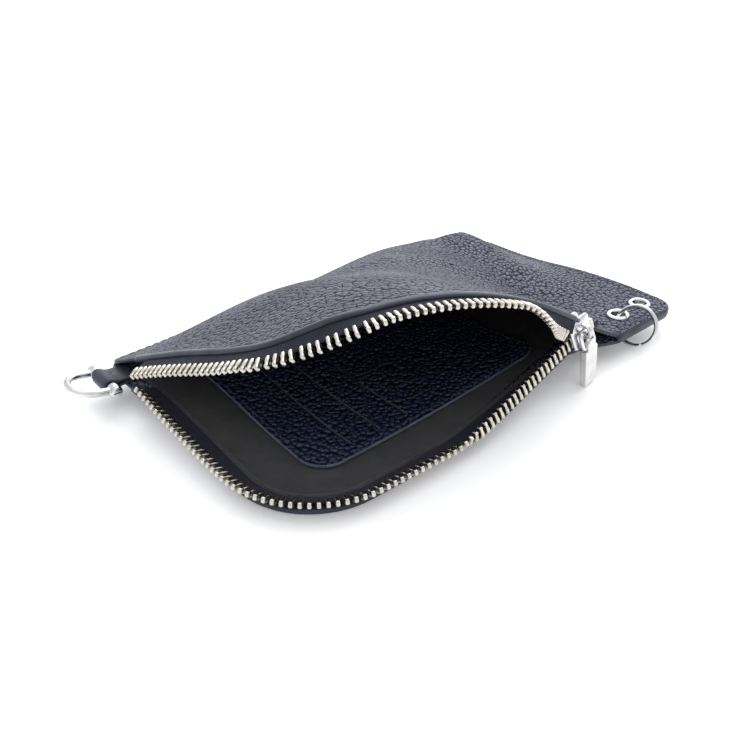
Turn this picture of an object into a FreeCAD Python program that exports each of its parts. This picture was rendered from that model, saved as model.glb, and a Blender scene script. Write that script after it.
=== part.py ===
"""Phone pouch in pebbled leather, lying open on its back.

X runs along the pouch, Y across it and Z up; sizes are in mm.  The zip opens one short
side and most of one long side.  While the shapes are drawn, the rounded mouth corner is at
X = 0, Y = 0; at the end everything is shifted so that the origin is the bottom centre.
"""
import FreeCAD, Part
import math
import os

V = FreeCAD.Vector
UP = V(0, 0, 1)

# Outline of the pouch seen from above
POUCH_LENGTH = 178.0
POUCH_WIDTH = 102.0
MOUTH_CORNER_RADIUS = 28.0
STRAP_CORNER_RADIUS = 5.0
FAR_CORNER_RADIUS = 10.0
TAB_CORNER_RADIUS = 7.0
MOUTH_INSET = 2.5
BOW_ALONG = 62.0
BOW_DEPTH = 3.0
BOW_RADIUS = 90.0
WAIST_FROM_END = 54.0
WAIST_DEPTH = 10.0
WAIST_RADIUS = 14.0
TAB_LENGTH = 36.0
TAB_DEPTH = 24.0
TAB_INSET = 1.2
END_SLANT = 2.0
TAB_SHOULDER_RADIUS = 10.0

# Layers
LEATHER = 1.3
LINING = 0.4
SEAM_CORE = 1.2
LAYER_GAP = 0.1
CORE_GAP = 0.3
SEAM_WIDTH = 7.0
LINING_INSET = 5.0
EDGE_STEP = 0.3

# How the pouch lies: flat along the diagonal, both other corners lifted
FLAT_HALF_WIDTH = 4.5
STRAP_CORNER_LIFT = 5.6
TAB_CORNER_LIFT = 6.6
LIFT_RUN = 70.0

# How far the front panel gapes
MOUTH_RISE = 44.5
RISE_POWER = 1.3
RISE_HUMP = 0.6
FALL_POWER_EDGE = 1.05
FALL_POWER_BODY = 2.2
FALL_REACH = 0.35
DRAW_IN_LONG = 0.46
DRAW_IN_SHORT = 0.42
DRAW_POWER_LONG = 1.5
DRAW_POWER_SHORT = 2.0
FRONT_CORNER_RADIUS = 24.0
SEWN_OVERLAP = 6.0
MOUTH_SPARE = 14.0

# How full the front panel stays behind the mouth, up to its sewn edges
FILL_RISE = 13.0
FILL_FROM = 52.0
FILL_RUN = 68.0
FILL_NEAR_RUN = 62.0
FILL_FAR_RUN = 13.0
FILL_END_RUN = 26.0
FILL_SEAM = 0.8

# Hinge line of the gaping part of the front panel, by its ends on the mouth
HINGE_LEFT_INSET = 3.0
HINGE_LEFT_HEIGHT = 15.0
HINGE_RIGHT_FROM_END = 74.0
HINGE_RIGHT_INSET = 2.0
HINGE_RIGHT_HEIGHT = 25.0
HINGE_SETBACK = 5.0
HINGE_GAP = 0.5
HINGE_OVERLAP = 10.0
HINGE_SPARE = 15.3

# Zip
ZIP_FROM_FAR = 22.0
UPPER_ZIP_FROM_END = 67.5
UPPER_END_LENGTH = 10.5
SPLIT_GAP = 0.6
CHAIN_OUTSET = 3.4
CHAIN_HEIGHT = 6.2
CHAIN_START_HEIGHT = 11.0
CHAIN_START_POWER = 1.5
CHAIN_END_HEIGHT = 18.0
CHAIN_FROM_END = 59.5
CHAIN_END_ACROSS = 3.0
TAPE = 0.5
TAPE_START = 0.8
TAPE_DROP = 6.5
TAPE_KNEE = 5.2
TAPE_KNEE_FREE = 3.3
TAPE_KNEE_RUN = 12.0
TAPE_TAIL = 12.0
TAPE_ROOT_INSET = 6.4
TAPE_ROOT_RAISE = 1.2
HANG_SHORT_SIDE = 24.0
HANG_LONG_SIDE = -8.0
HANG_AT_SLIDER = 95.0
HANG_RUN = 33.0
LOWER_LEAN = 25.0
LOWER_LEAN_START = 45.0
LEAN_RUN = 30.0
TOOTH_PITCH = 2.45
TOOTH_LENGTH = 4.0
TOOTH_WIDTH = 1.25
TOOTH_THICKNESS = 2.4
TOOTH_CHAMFER = 0.3
TAPE_TO_TOOTH = 0.35
BINDING_WIDTH = 3.2
BINDING = 0.6

# Slider and pull
SLIDER_LENGTH = 10.6
SLIDER_WIDTH = 9.8
SLIDER_REAR_WIDTH = 8.4
SLIDER_SHOULDER = 3.5
SLIDER_PLATE = 1.0
SLIDER_GAP = 3.0
SLIDER_FLANGE = 0.7
SLIDER_SLIT = 1.6
SLIDER_CORNER = 1.2
SLIDER_TILT = 16.0
CHAIN_IN_SLIDER = 2.0
STOP_LENGTH = 2.6
STOP_GAP = 0.5
POST_LENGTH = 2.6
POST_WIDTH = 1.4
POST_OFFSET = 0.3
POST_INSET = 1.0
BAIL_WIDTH = 1.5
BAIL_WIRE = 1.1
BAIL_SPAN = 5.8
BAIL_OPENING = 2.6
LINK_WIRE = 1.3
LINK_WIDTH = 7.6
LINK_DROP = 5.2
LINK_BEND = 0.9
PULL_WIDTH = 6.8
PULL_HEAD_WIDTH = 4.4
PULL_SHOULDER = 1.0
PULL_THICKNESS = 2.4
PULL_LENGTH = 15.6
PULL_HEAD = 1.6
PULL_ROUND = 0.5
PULL_BORE_CLEARANCE = 0.1

# Card panel inside
CARD_LEFT = 21.5
CARD_NEAR = 16.5
CARD_FROM_END = 58.5
CARD_FROM_FAR = 16.0
CARD_CORNER_RADIUS = 9.0
CARD_LEATHER = 1.1
SLOT_FROM_EDGE = 4.75
SLOT_WIDTH = 0.9
SLOT_FIRST = 15.5
SLOT_PITCH = 11.5
SLOT_COUNT = 3

# Strap ring at the corner
STRAP_FROM_FAR = 8.5
STRAP_WIDTH = 9.0
STRAP_LEATHER = 1.25
STRAP_OUT = 5.2
STRAP_TAIL = 4.6
PIN_DIAMETER = 2.5
PIN_CLEARANCE = 0.05
RING_WIRE = 2.6
RING_HALF_WIDTH = 6.8
RING_LEG = 5.0
RING_EYE = 4.4
RING_EYE_LENGTH = 2.8
RING_RISE = 12.0
PIN_HEAD = 4.0
PIN_HEAD_LENGTH = 1.0

# Eyelets and key ring on the tab
EYELET_FROM_END = 24.6
EYELET_PITCH = 12.8
EYELET_FROM_NEAR = 10.4
EYELET_HOLE = 4.8
EYELET_BARREL = 5.6
EYELET_FLANGE = 8.2
EYELET_FLANGE_THICKNESS = 0.7
EYELET_ROUND = 0.55
EYELET_CLEARANCE = 0.1
KEY_RING_DIAMETER = 14.2
KEY_RING_WIRE = 1.6
KEY_RING_SPLIT = 0.2
KEY_RING_DROP = 4.0
KEY_RING_LEAN = 17.0
KEY_RING_TURN = 14.0
KEY_RING_SPLIT_ANGLE = -60.0

# Fineness of the curved sheets, and the steps for directions along them
FRONT_ROW_COUNT = 30
FRONT_COLUMN_COUNT = 26
FLAP_ROW_COUNT = 30
FLAP_COLUMN_COUNT = 8
STRIP_ROW_COUNT = 44
STRIP_COLUMN_COUNT = 4
SHEET_STEP = 0.002
CHAIN_STEP = 0.2

WAIST_ALONG = POUCH_LENGTH - WAIST_FROM_END
ZIP_START = POUCH_WIDTH - ZIP_FROM_FAR
UPPER_ZIP_END = POUCH_LENGTH - UPPER_ZIP_FROM_END
CHAIN_END_ALONG = POUCH_LENGTH - CHAIN_FROM_END
HINGE_LEFT = V(HINGE_LEFT_INSET, ZIP_START, HINGE_LEFT_HEIGHT)
HINGE_RIGHT = V(POUCH_LENGTH - HINGE_RIGHT_FROM_END, HINGE_RIGHT_INSET, HINGE_RIGHT_HEIGHT)
CARD_LENGTH = POUCH_LENGTH - CARD_LEFT - CARD_FROM_END
CARD_WIDTH = POUCH_WIDTH - CARD_NEAR - CARD_FROM_FAR
SLOT_LENGTH = CARD_WIDTH - 2 * SLOT_FROM_EDGE
DIAGONAL = math.hypot(POUCH_LENGTH, POUCH_WIDTH)
ALONG_DIAGONAL = V(POUCH_LENGTH / DIAGONAL, POUCH_WIDTH / DIAGONAL, 0)
ACROSS_DIAGONAL = V(-POUCH_WIDTH / DIAGONAL, POUCH_LENGTH / DIAGONAL, 0)
FRONT_UNDERSIDE = LEATHER + SEAM_CORE
TALL = 80.0
ALL_ROUND = 60.0
SAME_WAY = 1

BOTTOM_OUTLINE = [
    (0, POUCH_WIDTH, STRAP_CORNER_RADIUS),
    (MOUTH_INSET, MOUTH_INSET, MOUTH_CORNER_RADIUS),
    (BOW_ALONG, MOUTH_INSET - BOW_DEPTH, BOW_RADIUS),
    (WAIST_ALONG, WAIST_DEPTH, WAIST_RADIUS),
    (POUCH_LENGTH - TAB_LENGTH, TAB_INSET, TAB_SHOULDER_RADIUS),
    (POUCH_LENGTH - END_SLANT, TAB_INSET, TAB_CORNER_RADIUS),
    (POUCH_LENGTH, POUCH_WIDTH, FAR_CORNER_RADIUS),
]


def flat(corner):
    """Corner of an outline as a point."""
    return V(corner[0], corner[1], 0)


def corner_arc(before, corner, after, radius):
    """Start, middle and end of the arc that rounds one corner."""
    back = (before - corner).normalize()
    ahead = (after - corner).normalize()
    half = back.getAngle(ahead) / 2
    reach = radius / math.tan(half)
    middle = (back + ahead).normalize() * (radius / math.sin(half) - radius)
    return corner + back * reach, corner + middle, corner + ahead * reach


def rounded_wire(corners):
    """Closed outline with rounded corners."""
    count = len(corners)
    arcs = []
    for i in range(count):
        before = flat(corners[i - 1])
        after = flat(corners[(i + 1) % count])
        arcs.append(corner_arc(before, flat(corners[i]), after, corners[i][2]))
    edges = []
    for i in range(count):
        edges.append(Part.Arc(*arcs[i]).toShape())
        edges.append(Part.makeLine(arcs[i][2], arcs[(i + 1) % count][0]))
    return Part.Wire(edges)


def inset(corners, depth):
    """The same outline moved inward by one depth."""
    count = len(corners)
    moved = []
    for i in range(count):
        here = flat(corners[i])
        into = (here - flat(corners[i - 1])).normalize()
        out = (flat(corners[(i + 1) % count]) - here).normalize()
        turn = into.cross(out).z
        left = V(-into.y, into.x, 0) + V(-out.y, out.x, 0)
        place = here + left * (depth / (1 + into.dot(out)))
        radius = corners[i][2] - math.copysign(depth, turn)
        moved.append((place.x, place.y, max(radius, 1.0)))
    return moved


def prism(wire):
    """Tall block over a flat outline."""
    block = Part.Face(wire).extrude(V(0, 0, 2 * TALL))
    block.translate(V(0, 0, -TALL))
    return block


def box_between(low, high):
    """Block between two opposite corners."""
    size = high - low
    return Part.makeBox(size.x, size.y, size.z, low)


def lift_of(across):
    """Lift of the far end of one side of the diagonal."""
    return STRAP_CORNER_LIFT if across > 0 else TAB_CORNER_LIFT


def bend(across, height):
    """Place across the diagonal and level of a layer at one height above the underside."""
    lift = lift_of(across)
    turn = 2 * math.atan2(lift, LIFT_RUN)
    radius = LIFT_RUN / (2 * math.sin(turn))
    past = abs(across) - FLAT_HALF_WIDTH
    if past <= 0:
        return across, height
    if past < LIFT_RUN / 2:
        slope = math.asin(past / radius)
        level = radius * (1 - math.cos(slope))
    elif past < LIFT_RUN:
        slope = math.asin((LIFT_RUN - past) / radius)
        level = lift - radius * (1 - math.cos(slope))
    else:
        slope = 0.0
        level = lift
    place = across - math.copysign(height * math.sin(slope), across)
    return place, level + height * math.cos(slope)


def bent_point(x, y, height):
    """Point of a bottom layer, given its place on the flat pouch."""
    across = x * ACROSS_DIAGONAL.x + y * ACROSS_DIAGONAL.y
    place, level = bend(across, height)
    return V(x, y, 0) + ACROSS_DIAGONAL * (place - across) + UP * level


def section_edges(height):
    """Edges of one layer's face across the diagonal, from the tab side to the strap side."""
    stations = [-POUCH_LENGTH]
    for side in (-1, 1):
        marks = [FLAT_HALF_WIDTH + LIFT_RUN * share / 4 for share in range(5)]
        stations += [side * mark for mark in (reversed(marks) if side < 0 else marks)]
    stations.append(POUCH_LENGTH)
    points = []
    for station in stations:
        place, level = bend(station, height)
        points.append(ACROSS_DIAGONAL * place + UP * level - ALONG_DIAGONAL * ALL_ROUND)
    edges = [Part.makeLine(points[0], points[1])]
    for first in (1, 3, 6, 8):
        edges.append(Part.Arc(points[first], points[first + 1], points[first + 2]).toShape())
        if first == 3:
            edges.append(Part.makeLine(points[5], points[6]))
    edges.append(Part.makeLine(points[10], points[11]))
    return edges, points[0], points[-1]


def bent_slab(low, high):
    """Endless bottom layer between two heights."""
    under, under_start, under_end = section_edges(low)
    over, over_start, over_end = section_edges(high)
    rim = under + [Part.makeLine(under_end, over_end)]
    rim += over + [Part.makeLine(over_start, under_start)]
    face = Part.Face(Part.Wire(Part.__sortEdges__(rim)))
    return face.extrude(ALONG_DIAGONAL * (DIAGONAL + 2 * ALL_ROUND))


def bottom_layer(corners, low, high):
    """One layer of the bottom panel inside an outline."""
    return bent_slab(low, high).common(prism(rounded_wire(corners)))


def front_rise(x, y):
    """Rise of the front panel over its flat place."""
    along = min(max(x / (POUCH_LENGTH - TAB_LENGTH), 0), 1)
    across = min(max(y / POUCH_WIDTH, 0), 1)
    profile = (1 - along ** 2) ** RISE_POWER * (1 + RISE_HUMP * along)
    power = FALL_POWER_EDGE + (FALL_POWER_BODY - FALL_POWER_EDGE) * eased(along / FALL_REACH)
    start = eased((x - FILL_FROM) / FILL_RUN) * eased((y - TAB_DEPTH) / FILL_NEAR_RUN)
    far = eased((POUCH_WIDTH - FILL_SEAM - y) / FILL_FAR_RUN)
    end = eased((POUCH_LENGTH - FILL_SEAM - x) / FILL_END_RUN)
    return MOUTH_RISE * profile * (1 - across ** power) + FILL_RISE * start * far * end


def front_point(x, y):
    """Underside of the front panel over one place of the flat pouch."""
    rise = front_rise(x, y)
    along = min(max(1 - x / (POUCH_LENGTH - TAB_LENGTH), 0), 1)
    across = min(max(1 - y / POUCH_WIDTH, 0), 1)
    inward = DRAW_IN_LONG * rise * along ** DRAW_POWER_LONG
    back = DRAW_IN_SHORT * rise * along ** DRAW_POWER_SHORT * across
    return bent_point(x, y, FRONT_UNDERSIDE) + V(inward, back, rise)


def facing(point, s, t):
    """Unit normal of a two-way curved sheet."""
    s0, s1 = max(s - SHEET_STEP, 0), min(s + SHEET_STEP, 1)
    t0, t1 = max(t - SHEET_STEP, 0), min(t + SHEET_STEP, 1)
    normal = (point(s1, t) - point(s0, t)).cross(point(s, t1) - point(s, t0))
    return normal.normalize()


def sheet(point, rows, columns, low, high):
    """Solid sheet between two offsets from a two-way curved surface."""
    layers = []
    for offset in (low, high):
        grid = []
        for i in range(rows + 1):
            line = []
            for j in range(columns + 1):
                s, t = i / rows, j / columns
                line.append(point(s, t) + facing(point, s, t) * offset)
            grid.append(line)
        surface = Part.BSplineSurface()
        surface.interpolate(grid)
        layers.append(surface)
    faces = [layer.toShape() for layer in layers]
    rims = []
    for layer in layers:
        u0, u1, v0, v1 = layer.bounds()
        rims.append([layer.uIso(u0), layer.uIso(u1), layer.vIso(v0), layer.vIso(v1)])
    for under, over in zip(*rims):
        faces.append(Part.makeRuledSurface(under.toShape(), over.toShape(), SAME_WAY))
    shell = Part.makeShell(faces)
    shell.sewShape()
    return Part.makeSolid(shell)


class Route:
    """Path of straight runs joined by arcs, measured from its start."""

    def __init__(self, corners):
        self.pieces = []
        spot = flat(corners[0])
        for i in range(1, len(corners)):
            target = flat(corners[i])
            if i < len(corners) - 1:
                start, middle, end = corner_arc(flat(corners[i - 1]), target,
                                                flat(corners[i + 1]), corners[i][2])
                self.pieces.append(Part.makeLine(spot, start))
                self.pieces.append(Part.Arc(start, middle, end).toShape())
                spot = end
            else:
                self.pieces.append(Part.makeLine(spot, target))
        self.length = sum(piece.Length for piece in self.pieces)

    def upto(self, count):
        """Length of the first few pieces."""
        return sum(piece.Length for piece in self.pieces[:count])

    def at(self, distance):
        """Point and outward direction at one distance."""
        last = self.pieces[-1]
        for piece in self.pieces:
            if distance <= piece.Length or piece is last:
                break
            distance -= piece.Length
        place = piece.getParameterByLength(min(max(distance, 0), piece.Length))
        way = piece.tangentAt(place)
        return piece.valueAt(place), V(way.y, -way.x, 0)


def placed(shape, origin, first, second):
    """Copy of a shape moved from the drawing axes to the given ones."""
    third = first.cross(second)
    matrix = FreeCAD.Matrix(first.x, second.x, third.x, origin.x,
                            first.y, second.y, third.y, origin.y,
                            first.z, second.z, third.z, origin.z, 0, 0, 0, 1)
    copy = shape.copy()
    copy.Placement = FreeCAD.Placement(matrix).multiply(shape.Placement)
    return copy


def eased(share):
    """Smooth step from 0 to 1."""
    share = min(max(share, 0), 1)
    return share * share * (3 - 2 * share)


nodes = {}

# Bottom panel, its lining and the filler sewn into the closed edges
LINING_LOW = LEATHER + LAYER_GAP
LINING_HIGH = LINING_LOW + LINING
TAB_START = POUCH_LENGTH - TAB_LENGTH


def sewn_region(grow):
    """Band of the closed edges and the tab, grown by one margin."""
    past = POUCH_LENGTH + TALL
    far_corner = V(2 * STRAP_TAIL - grow, POUCH_WIDTH - SEAM_WIDTH - grow, -TALL)
    far = box_between(far_corner, V(past, past, TALL))
    right = box_between(V(POUCH_LENGTH - SEAM_WIDTH - grow, -TALL, -TALL), V(past, past, TALL))
    tab = box_between(V(TAB_START - grow, -TALL, -TALL), V(past, TAB_DEPTH + grow, TALL))
    return far.fuse(right).fuse(tab)


sewn_block = prism(rounded_wire(inset(BOTTOM_OUTLINE, EDGE_STEP)))
lining_block = prism(rounded_wire(inset(BOTTOM_OUTLINE, LINING_INSET))).cut(sewn_region(EDGE_STEP))
nodes["bottom_leather"] = bottom_layer(BOTTOM_OUTLINE, 0, LEATHER)
nodes["bottom_lining"] = bent_slab(LINING_LOW, LINING_HIGH).common(lining_block)
core_sheet = bent_slab(LEATHER, LEATHER + SEAM_CORE - CORE_GAP).common(sewn_block)
nodes["seam_core"] = core_sheet.common(sewn_region(0))

# Card panel on the lining, with its cloth pocket underneath
CARD_OUTLINE = [
    (CARD_LEFT, CARD_NEAR, CARD_CORNER_RADIUS),
    (CARD_LEFT + CARD_LENGTH, CARD_NEAR, CARD_CORNER_RADIUS),
    (CARD_LEFT + CARD_LENGTH, CARD_NEAR + CARD_WIDTH, CARD_CORNER_RADIUS),
    (CARD_LEFT, CARD_NEAR + CARD_WIDTH, CARD_CORNER_RADIUS),
]
POCKET_LOW = LINING_HIGH + LAYER_GAP
CARD_LOW = POCKET_LOW + LINING + LAYER_GAP
nodes["card_pocket"] = bottom_layer(inset(CARD_OUTLINE, EDGE_STEP), POCKET_LOW, POCKET_LOW + LINING)
card_panel = bottom_layer(CARD_OUTLINE, CARD_LOW, CARD_LOW + CARD_LEATHER)
slot_near = CARD_NEAR + (CARD_WIDTH - SLOT_LENGTH) / 2
for slot in range(SLOT_COUNT):
    slot_at = CARD_LEFT + SLOT_FIRST + slot * SLOT_PITCH
    card_panel = card_panel.cut(box_between(V(slot_at, slot_near, 0),
                                            V(slot_at + SLOT_WIDTH, slot_near + SLOT_LENGTH, TALL)))
nodes["card_panel"] = card_panel

# Front panel: a fixed rear part and the part that gapes, parted on the hinge line
hinge_way = HINGE_RIGHT - HINGE_LEFT
hinge_flat = V(hinge_way.x, hinge_way.y, 0).normalize()
to_rear = V(-hinge_flat.y, hinge_flat.x, 0)


def beyond_hinge(setback, side):
    """Block on one side of the upright plane along the hinge line."""
    start = HINGE_LEFT + to_rear * setback - hinge_flat * POUCH_LENGTH
    start.z = -TALL
    block = Part.makeBox(3 * POUCH_LENGTH, 2 * POUCH_LENGTH, 2 * TALL)
    if side < 0:
        block.translate(V(0, -2 * POUCH_LENGTH, 0))
    return placed(block, start, hinge_flat, to_rear)


def whole_front(s, t):
    """Front panel over the whole pouch and a little past its sewn edges."""
    return front_point(s * (POUCH_LENGTH + SEWN_OVERLAP), t * (POUCH_WIDTH + SEWN_OVERLAP))


mouth = Route([(0, ZIP_START + MOUTH_SPARE), (0, 0, FRONT_CORNER_RADIUS),
               (UPPER_ZIP_END + MOUTH_SPARE, 0)])


def gaping_front(s, t):
    """Front panel from the mouth edge back past the hinge line."""
    edge, outward = mouth.at(s * mouth.length)
    back = HINGE_LEFT + hinge_way * s + hinge_flat * (HINGE_SPARE * (2 * s - 1))
    place = edge + (back + to_rear * HINGE_OVERLAP - edge) * t
    return front_point(place.x, place.y)


rear_block = beyond_hinge(HINGE_SETBACK + HINGE_GAP, 1)
flap_block = beyond_hinge(HINGE_SETBACK, -1)
front_all = sheet(whole_front, FRONT_ROW_COUNT, FRONT_COLUMN_COUNT, 0, LEATHER)
nodes["front_leather_rear"] = front_all.common(rear_block).common(sewn_block)
flap_all = sheet(gaping_front, FLAP_ROW_COUNT, FLAP_COLUMN_COUNT, 0, LEATHER)
nodes["front_leather_flap"] = flap_all.common(flap_block)
front_lining = sheet(whole_front, FRONT_ROW_COUNT, FRONT_COLUMN_COUNT, -LAYER_GAP - LINING, -LAYER_GAP)
nodes["front_lining_rear"] = front_lining.common(rear_block).common(lining_block)


def gaping_lining(s, t):
    """Front lining from a little inside the mouth edge back past the hinge line."""
    inset_share = LINING_INSET / POUCH_WIDTH
    return gaping_front(s, inset_share + (1 - inset_share) * t)


flap_lining = sheet(gaping_lining, FLAP_ROW_COUNT, FLAP_COLUMN_COUNT, -LAYER_GAP - LINING, -LAYER_GAP)
nodes["front_lining_flap"] = flap_lining.common(flap_block)

# Zip half on the front panel: bound edge, hanging tape and teeth
mouth_start = MOUTH_SPARE
mouth_end = mouth.length - MOUTH_SPARE
mouth_split = mouth_end - UPPER_END_LENGTH
corner_middle = (mouth.upto(1) + mouth.upto(2)) / 2


def front_edge(distance, depth=0.0):
    """Mouth edge of the front panel, or a line at one depth behind it."""
    edge, outward = mouth.at(distance)
    place = edge - outward * depth
    return front_point(place.x, place.y)


def hang(distance):
    """Way from the mouth edge to the teeth: lower on the short side and at the slider."""
    edge, outward = mouth.at(distance)
    turned = eased((distance - corner_middle) / (mouth.upto(2) - corner_middle))
    drawn = eased((distance - mouth_end) / HANG_RUN + 1)
    angle = HANG_SHORT_SIDE + (HANG_LONG_SIDE - HANG_SHORT_SIDE) * turned
    angle = math.radians(angle + (HANG_AT_SLIDER - HANG_LONG_SIDE) * drawn)
    return outward * math.cos(angle) - UP * math.sin(angle)


def upper_chain(distance):
    """Middle of the chain on the front panel."""
    return front_edge(distance) + hang(distance) * TAPE_DROP


def tooth():
    """One tooth, drawn across the chain with its root towards the tape."""
    block = box_between(V(-TOOTH_WIDTH / 2, -TOOTH_LENGTH / 2, -TOOTH_THICKNESS / 2),
                        V(TOOTH_WIDTH / 2, TOOTH_LENGTH / 2, TOOTH_THICKNESS / 2))
    rims = [edge for edge in block.Edges if abs(edge.tangentAt(edge.FirstParameter).x) > 0.9]
    return block.makeChamfer(TOOTH_CHAMFER, rims)


def teeth_along(curve, away, start, end):
    """Teeth at even steps along a chain."""
    pattern = tooth()
    row = []
    distance = start
    while distance <= end:
        way = curve(distance + CHAIN_STEP) - curve(distance - CHAIN_STEP)
        stretch = way.Length / (2 * CHAIN_STEP)
        way.normalize()
        side = away(distance)
        side = (side - way * side.dot(way)).normalize()
        row.append(placed(pattern, curve(distance), way, side))
        distance += TOOTH_PITCH / stretch
    return Part.makeCompound(row)


TAPE_END = TAPE_DROP - TOOTH_LENGTH / 2 - TAPE_TO_TOOTH


def upper_tape(start, end):
    """Tape on the front panel between two distances along the mouth."""
    def strip(s, t):
        distance = start + (end - start) * s
        return front_edge(distance) + hang(distance) * (TAPE_START + (TAPE_END - TAPE_START) * t)
    return sheet(strip, STRIP_ROW_COUNT, STRIP_COLUMN_COUNT, -TAPE / 2, TAPE / 2)


def bound_edge(s, t):
    """Strip of folded leather along the mouth edge."""
    distance = mouth_start + (mouth_split - mouth_start) * s
    return front_edge(distance, BINDING_WIDTH * t + EDGE_STEP)


binding_low = LEATHER + LAYER_GAP
end_start = mouth_split + SPLIT_GAP
nodes["front_binding"] = sheet(bound_edge, STRIP_ROW_COUNT, STRIP_COLUMN_COUNT, binding_low,
                               binding_low + BINDING)
nodes["upper_zip_tape"] = upper_tape(mouth_start, mouth_split)
nodes["upper_zip_teeth"] = teeth_along(upper_chain, hang, mouth_start + TOOTH_PITCH,
                                       mouth_split - TOOTH_WIDTH)
nodes["upper_zip_end_tape"] = upper_tape(end_start, mouth_end)
nodes["upper_zip_end_teeth"] = teeth_along(upper_chain, hang, end_start + TOOTH_WIDTH,
                                           mouth_end - TOOTH_WIDTH)

# Zip half on the bottom panel
CHAIN_SIDE = MOUTH_INSET - CHAIN_OUTSET
chain_route = Route([(CHAIN_SIDE, ZIP_START),
                     (CHAIN_SIDE, CHAIN_SIDE, MOUTH_CORNER_RADIUS + CHAIN_OUTSET),
                     (BOW_ALONG, CHAIN_SIDE - BOW_DEPTH, BOW_RADIUS),
                     (CHAIN_END_ALONG, CHAIN_END_ACROSS)])
chain_length = chain_route.length
bow_start = chain_route.upto(3)
bow_end = chain_route.upto(4)


def chain_level(distance):
    """Height of the lower chain: raised at both ends of the zip."""
    start_run = chain_route.upto(1)
    climb = CHAIN_END_HEIGHT - CHAIN_HEIGHT
    slope = climb / (chain_length - (bow_start + bow_end) / 2)
    level = CHAIN_HEIGHT
    if distance < start_run:
        level += (CHAIN_START_HEIGHT - CHAIN_HEIGHT) * (1 - distance / start_run) ** CHAIN_START_POWER
    if distance > bow_end:
        level += slope * (distance - (bow_start + bow_end) / 2)
    elif distance > bow_start:
        level += slope * (distance - bow_start) ** 2 / (2 * (bow_end - bow_start))
    return level


def lower_chain(distance):
    """Middle of the chain on the bottom panel; its last run is straight."""
    if distance < 0 or distance > chain_length:
        near = min(max(distance, 1), chain_length - 1)
        step = 1 if distance > near else -1
        return lower_chain(near) + (lower_chain(near + step) - lower_chain(near)) * abs(distance - near)
    place, outward = chain_route.at(distance)
    return place + UP * chain_level(distance)


run_way = (lower_chain(chain_length) - lower_chain(bow_end + 1)).normalize()
outer_way = V(0, -math.cos(math.radians(SLIDER_TILT)), math.sin(math.radians(SLIDER_TILT)))
outer_way = (outer_way - run_way * outer_way.dot(run_way)).normalize()
upper_way = outer_way.cross(run_way)


def lean(distance):
    """Way from the lower tape's root to its teeth."""
    place, outward = chain_route.at(min(max(distance, 0), chain_length))
    share = 1 - eased(distance / LEAN_RUN)
    angle = math.radians(LOWER_LEAN + (LOWER_LEAN_START - LOWER_LEAN) * share)
    free = outward * math.cos(angle) + UP * math.sin(angle)
    turn = eased((distance - bow_start) / (bow_end - bow_start))
    return (free * (1 - turn) + upper_way * turn).normalize()


def lower_strip(s, t):
    """Lower tape from its seam on the bottom panel up to the teeth."""
    distance = (chain_length + TAPE_TAIL) * s
    place, outward = chain_route.at(distance)
    middle = lower_chain(distance)
    tip = middle - lean(distance) * (TOOTH_LENGTH / 2 + TAPE_TO_TOOTH)
    turn = eased((distance - bow_end) / TAPE_KNEE_RUN)
    knee = middle - lean(distance) * (TAPE_KNEE_FREE + (TAPE_KNEE - TAPE_KNEE_FREE) * turn)
    seam = middle - outward * TAPE_ROOT_INSET
    root = bent_point(seam.x, seam.y, LEATHER + TAPE_ROOT_RAISE)
    return root * (1 - t) ** 2 + knee * 2 * t * (1 - t) + tip * t ** 2


nodes["lower_zip_tape"] = sheet(lower_strip, STRIP_ROW_COUNT, STRIP_COLUMN_COUNT, -TAPE / 2, TAPE / 2)
nodes["lower_zip_teeth"] = teeth_along(lower_chain, lean, TOOTH_PITCH, chain_length - TOOTH_PITCH / 2)
edge_band = prism(rounded_wire(inset(BOTTOM_OUTLINE, -BINDING - LAYER_GAP)))
edge_band = edge_band.cut(prism(rounded_wire(inset(BOTTOM_OUTLINE, -LAYER_GAP))))
edge_band = edge_band.common(beyond_hinge(-HINGE_SETBACK, -1))
nodes["lower_edge_binding"] = bent_slab(LAYER_GAP, LEATHER).common(edge_band)

# Slider, drawn with X along the chain towards the closed end, Y to the upper chain and Z outward
SLIDER_MIDDLE = SLIDER_LENGTH / 2
slider_origin = lower_chain(chain_length) - run_way * SLIDER_MIDDLE + upper_way * CHAIN_IN_SLIDER
shoulder = SLIDER_LENGTH - SLIDER_SHOULDER
plate_wire = Part.makePolygon([
    V(0, -SLIDER_WIDTH / 2, 0), V(shoulder, -SLIDER_WIDTH / 2, 0),
    V(SLIDER_LENGTH, -SLIDER_REAR_WIDTH / 2, 0), V(SLIDER_LENGTH, SLIDER_REAR_WIDTH / 2, 0),
    V(shoulder, SLIDER_WIDTH / 2, 0), V(0, SLIDER_WIDTH / 2, 0),
    V(0, -SLIDER_WIDTH / 2, 0)])
half_gap = SLIDER_GAP / 2
slider = Part.Face(plate_wire).extrude(V(0, 0, SLIDER_PLATE))
uprights = [edge for edge in slider.Edges if abs(edge.tangentAt(edge.FirstParameter).z) > 0.9]
slider = slider.makeFillet(SLIDER_CORNER, uprights)
slider.translate(V(0, 0, half_gap))
slider = slider.fuse(slider.translated(V(0, 0, -SLIDER_GAP - SLIDER_PLATE)))
for side in (-1, 1):
    for face in (-1, 1):
        low = SLIDER_SLIT / 2 if face > 0 else -half_gap - SLIDER_PLATE / 2
        high = half_gap + SLIDER_PLATE / 2 if face > 0 else -SLIDER_SLIT / 2
        start = SLIDER_WIDTH / 2 - SLIDER_FLANGE if side > 0 else -SLIDER_WIDTH / 2
        lip = box_between(V(SLIDER_CORNER, start, low),
                          V(shoulder - SLIDER_CORNER, start + SLIDER_FLANGE, high))
        slider = slider.fuse(lip)
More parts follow.
